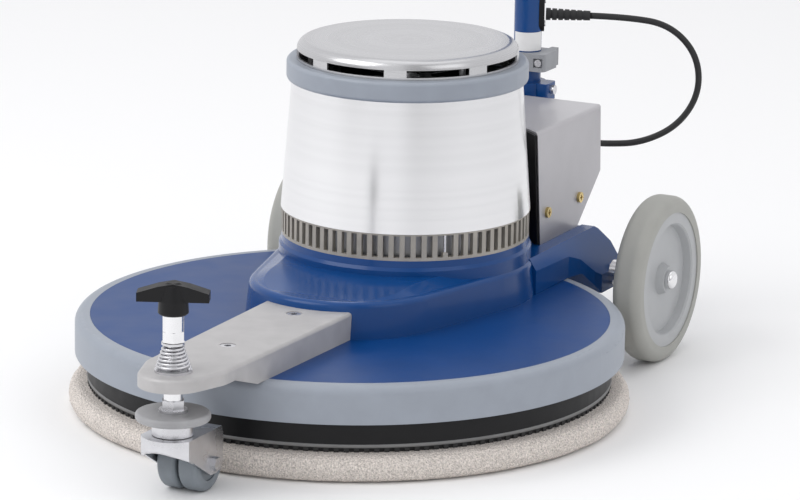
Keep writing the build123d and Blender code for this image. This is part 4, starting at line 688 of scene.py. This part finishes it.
@dataclass
class PolishingPad:
    """The fleecy pad, the bristles that hold it and the driver's pale trim."""

    radius: float = 0.254
    thickness: float = 0.025
    edge: float = 0.0105
    underside: float = 0.0006
    topside: float = 0.0246
    face_radii: tuple[float, ...] = (0.004, 0.12, 0.2)
    edge_steps: int = 10
    pad_turns: int = 720
    tuft: float = 0.0011
    tuft_waves: float = 420.0
    lump_waves: float = 60.0
    lump_share: float = 0.6
    bristle_count: int = 170
    bristle_size: tuple[float, float] = (0.0022, 0.0042)
    bristle_stray: float = 0.0006
    bristle_seed: tuple[float, float, float] = (1.7, 0.3, 0.1)
    bristle_radius: float = 0.2352
    bristle_low: float = 0.0225
    bristle_high: float = 0.0282
    trim_radius: float = 0.2368
    trim_low: float = 0.0281
    trim_high: float = 0.0318
    trim_depth: float = 0.0015
    trim_lip: float = 0.0004

    def build(self, paint: Paintbox) -> None:
        """Make the three pieces and put them on the disc.

        Args:
            paint: Where finishes come from.
        """
        pad = self._pad()
        paint.dress(pad, "pad_fibre")
        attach(pad, "disc_unit")
        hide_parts("polishing_pad")
        bristles = self._bristles()
        paint.dress(bristles, "bristle")
        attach(bristles, "disc_unit")
        trim = self._trim()
        paint.dress(trim, "driver_trim")
        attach(trim, "disc_unit")

    def _pad(self) -> bpy.types.Object:
        """Turn the pad's soft section and roughen it into fleece.

        Returns:
            The pad.
        """
        profile = [(radius, self.underside) for radius in self.face_radii]
        middle = self.radius - self.edge - self.tuft
        half = self.thickness / 2
        for step in range(self.edge_steps + 1):
            angle = -math.pi / 2 + math.pi * step / self.edge_steps
            rise = (half - self.underside) * math.sin(angle)
            profile.append((middle + self.edge * math.cos(angle), half + rise))
        profile += [(radius, self.topside) for radius in reversed(self.face_radii)]
        pad = lathe("fleece_pad", profile, DISC_AXIS, turns=self.pad_turns)
        for vertex in pad.data.vertices:
            radius = math.hypot(vertex.co.x, vertex.co.y)
            if radius < self.radius - 2 * self.edge:
                continue
            push = noise.noise(vertex.co * self.tuft_waves) * self.tuft
            push += noise.noise(vertex.co * self.lump_waves) * self.tuft * self.lump_share
            outward = Vector((vertex.co.x / radius, vertex.co.y / radius, 0.0))
            vertex.co += outward * push
        return pad

    def _bristles(self) -> bpy.types.Object:
        """Stand a ring of short blunt bristles at the driver's edge.

        Returns:
            All the bristles as one piece.
        """
        build = bmesh.new()
        height = self.bristle_high - self.bristle_low
        stride, *rest = self.bristle_seed
        for index in range(self.bristle_count):
            angle = FULL_TURN * index / self.bristle_count
            stray = noise.noise(Vector((index * stride, *rest))) * self.bristle_stray
            place = Matrix.Rotation(angle, 4, "Z") @ Matrix.Translation(
                (self.bristle_radius + stray, 0.0, self.bristle_low + height / 2)
            )
            shape = place @ Matrix.Diagonal((*self.bristle_size, height, 1.0))
            bmesh.ops.create_cube(build, size=1.0, matrix=shape)
        return finish_mesh("bristles", build)

    def _trim(self) -> bpy.types.Object:
        """Turn the thin pale band above the bristles.

        Returns:
            The band.
        """
        inner = self.trim_radius - self.trim_depth
        profile = [
            (inner, self.trim_low),
            (self.trim_radius, self.trim_low + self.trim_lip),
            (self.trim_radius, self.trim_high - self.trim_lip),
            (inner, self.trim_high),
        ]
        return lathe("driver_trim", profile, DISC_AXIS)


@dataclass
class CasterSpring:
    """The flared coil spring on the caster's screw, made at one length; the real spring stretches as
    the caster is set.
    """

    axis: PlanPoint = (0.0, -0.326)
    low: float = 0.1132
    high: float = 0.1323
    wire: float = 0.0012
    foot_radius: float = 0.0143
    top_radius: float = 0.0082
    coils: float = 6.5
    steps: int = 40
    facets: int = 12

    def build(self, paint: Paintbox) -> None:
        """Make the coil and stretch it between the arm's washer and the spring seat.

        Args:
            paint: Where finishes come from.
        """
        build = bmesh.new()
        count = int(self.coils * self.steps)
        rings = [self._ring(build, index / count) for index in range(count + 1)]
        coil = skin_wire("spring_coil", build, rings)
        paint.dress(coil, "zinc")
        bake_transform(coil)
        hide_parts("caster_spring")

    def _ring(self, build: bmesh.types.BMesh, share: float) -> Ring:
        """Set one ring of the wire's skin.

        Args:
            build: The mesh in the making.
            share: How far along the wire the ring is, from 0 to 1.

        Returns:
            The ring's corners.
        """
        angle = FULL_TURN * self.coils * share
        radius = self.foot_radius + (self.top_radius - self.foot_radius) * share
        outward = Vector((math.cos(angle), math.sin(angle), 0.0))
        height = self.low + (self.high - self.low) * share
        place = Vector((*self.axis, height)) + outward * radius
        ring = []
        for facet in range(self.facets):
            turn = FULL_TURN * facet / self.facets
            reach = outward * math.cos(turn) + Vector((0.0, 0.0, math.sin(turn)))
            ring.append(build.verts.new(place + reach * self.wire))
        return ring


@dataclass
class WindowPost:
    """The bright post that shows behind the wide window of the motor's grille."""

    radius: float = 0.1108
    at: float = math.radians(-45.0)
    low: float = 0.1445
    high: float = 0.1605
    thickness: float = 0.0032
    facets: int = 16

    def build(self, paint: Paintbox) -> None:
        """Make the post behind the wide window.

        Args:
            paint: Where finishes come from.
        """
        build = bmesh.new()
        centre = (
            MOTOR_AXIS[0] + self.radius * math.cos(self.at),
            MOTOR_AXIS[1] + self.radius * math.sin(self.at),
            (self.low + self.high) / 2,
        )
        reach = self.thickness / 2
        bmesh.ops.create_cone(
            build, cap_ends=True, segments=self.facets, radius1=reach, radius2=reach,
            depth=self.high - self.low, matrix=Matrix.Translation(centre),
        )
        post = finish_mesh("window_post", build)
        paint.dress(post, "zinc")
        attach(post, "chassis")


@dataclass
class FrameDress:
    """The frame's nodes that keep their own shape, by finish."""

    paints: dict[str, list[str]] = field(
        default_factory=lambda: {
            "blue_paint": ["main_casting"],
            "deck_paint": ["deck_shell"],
            "handle_steel": ["handle_tube", "handle_socket"],
            "bumper_grey": ["deck_bumper", "motor_bumper"],
            "cast_alloy": ["front_arm"],
            "grille_paint": ["motor_grille"],
            "polished_steel": ["motor_sleeve"],
            "cap_steel": ["motor_cap"],
            "motor_alloy": ["motor_frame", "disc_pulley", "motor_pulley"],
            "lamination": ["motor_stator", "rotor_core"],
            "belt_rubber": ["drive_belt"],
            "cover_paint": ["electrics_cover"],
            # cover_edge_seal in black rubber is partly painted shade: its dark strip stands for the
            # shaded front edge of the cover and the gap to the motor, as well as a seal
            "black_rubber": ["cover_edge_seal", "bend_relief", "hand_grips"],
            "yellow_zinc": ["cover_screws"],
            "black_plastic": [
                "pad_driver", "grip_facing", "t_knob", "cord_gland", "gland_plate",
                "handle_head", "mains_gland", "run_capacitor", "cooling_fan",
            ],
            "chromed": ["wheel_axle", "adjuster_screw"],
            "zinc": [
                "arm_screws", "arm_washer", "ball_bearings", "hinge_pin", "disc_spindle",
                "motor_shaft", "spring_seat", "lock_nut", "swivel_head",
                "caster_fork", "caster_axle_bolt", "handle_screws",
            ],
            "buffer_grey": ["buffer_disc"],
            "caster_grey": ["caster_wheel_left", "caster_wheel_right"],
            "tyre_grey": ["rear_tyre_left", "rear_tyre_right"],
            "rim_grey": ["rear_rim_left", "rear_rim_right"],
            "label_white": ["label_plate"],
            "bracket_grey": ["hook_bracket", "upper_hook", "lever_left", "lever_right"],
            "yellow_plastic": ["lock_button"],
        }
    )

    def build(self, paint: Paintbox, nodes: dict[str, bpy.types.Object]) -> None:
        """Dress every node that keeps its shape.

        Args:
            paint: Where finishes come from.
            nodes: The frame's mesh objects by name.
        """
        for finish, names in self.paints.items():
            for name in names:
                paint.dress(nodes[name], finish)
                LOG.info("dressed %s in %s", name, finish)


def main() -> None:
    """Build the whole scene in order."""
    logging.basicConfig(level=logging.INFO, format="%(name)s: %(message)s")
    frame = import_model()
    paint = Paintbox()
    Studio().build()
    LOG.info("studio ready")
    LinkCord().build(paint)
    LOG.info("link cord drawn")
    FrameDress().build(paint, frame["nodes"])
    PolishingPad().build(paint)
    LOG.info("pad, bristles and trim made")
    CasterSpring().build(paint)
    LOG.info("caster spring wound")
    WindowPost().build(paint)
    LOG.info("window post made")


if __name__ == "__main__":
    main()
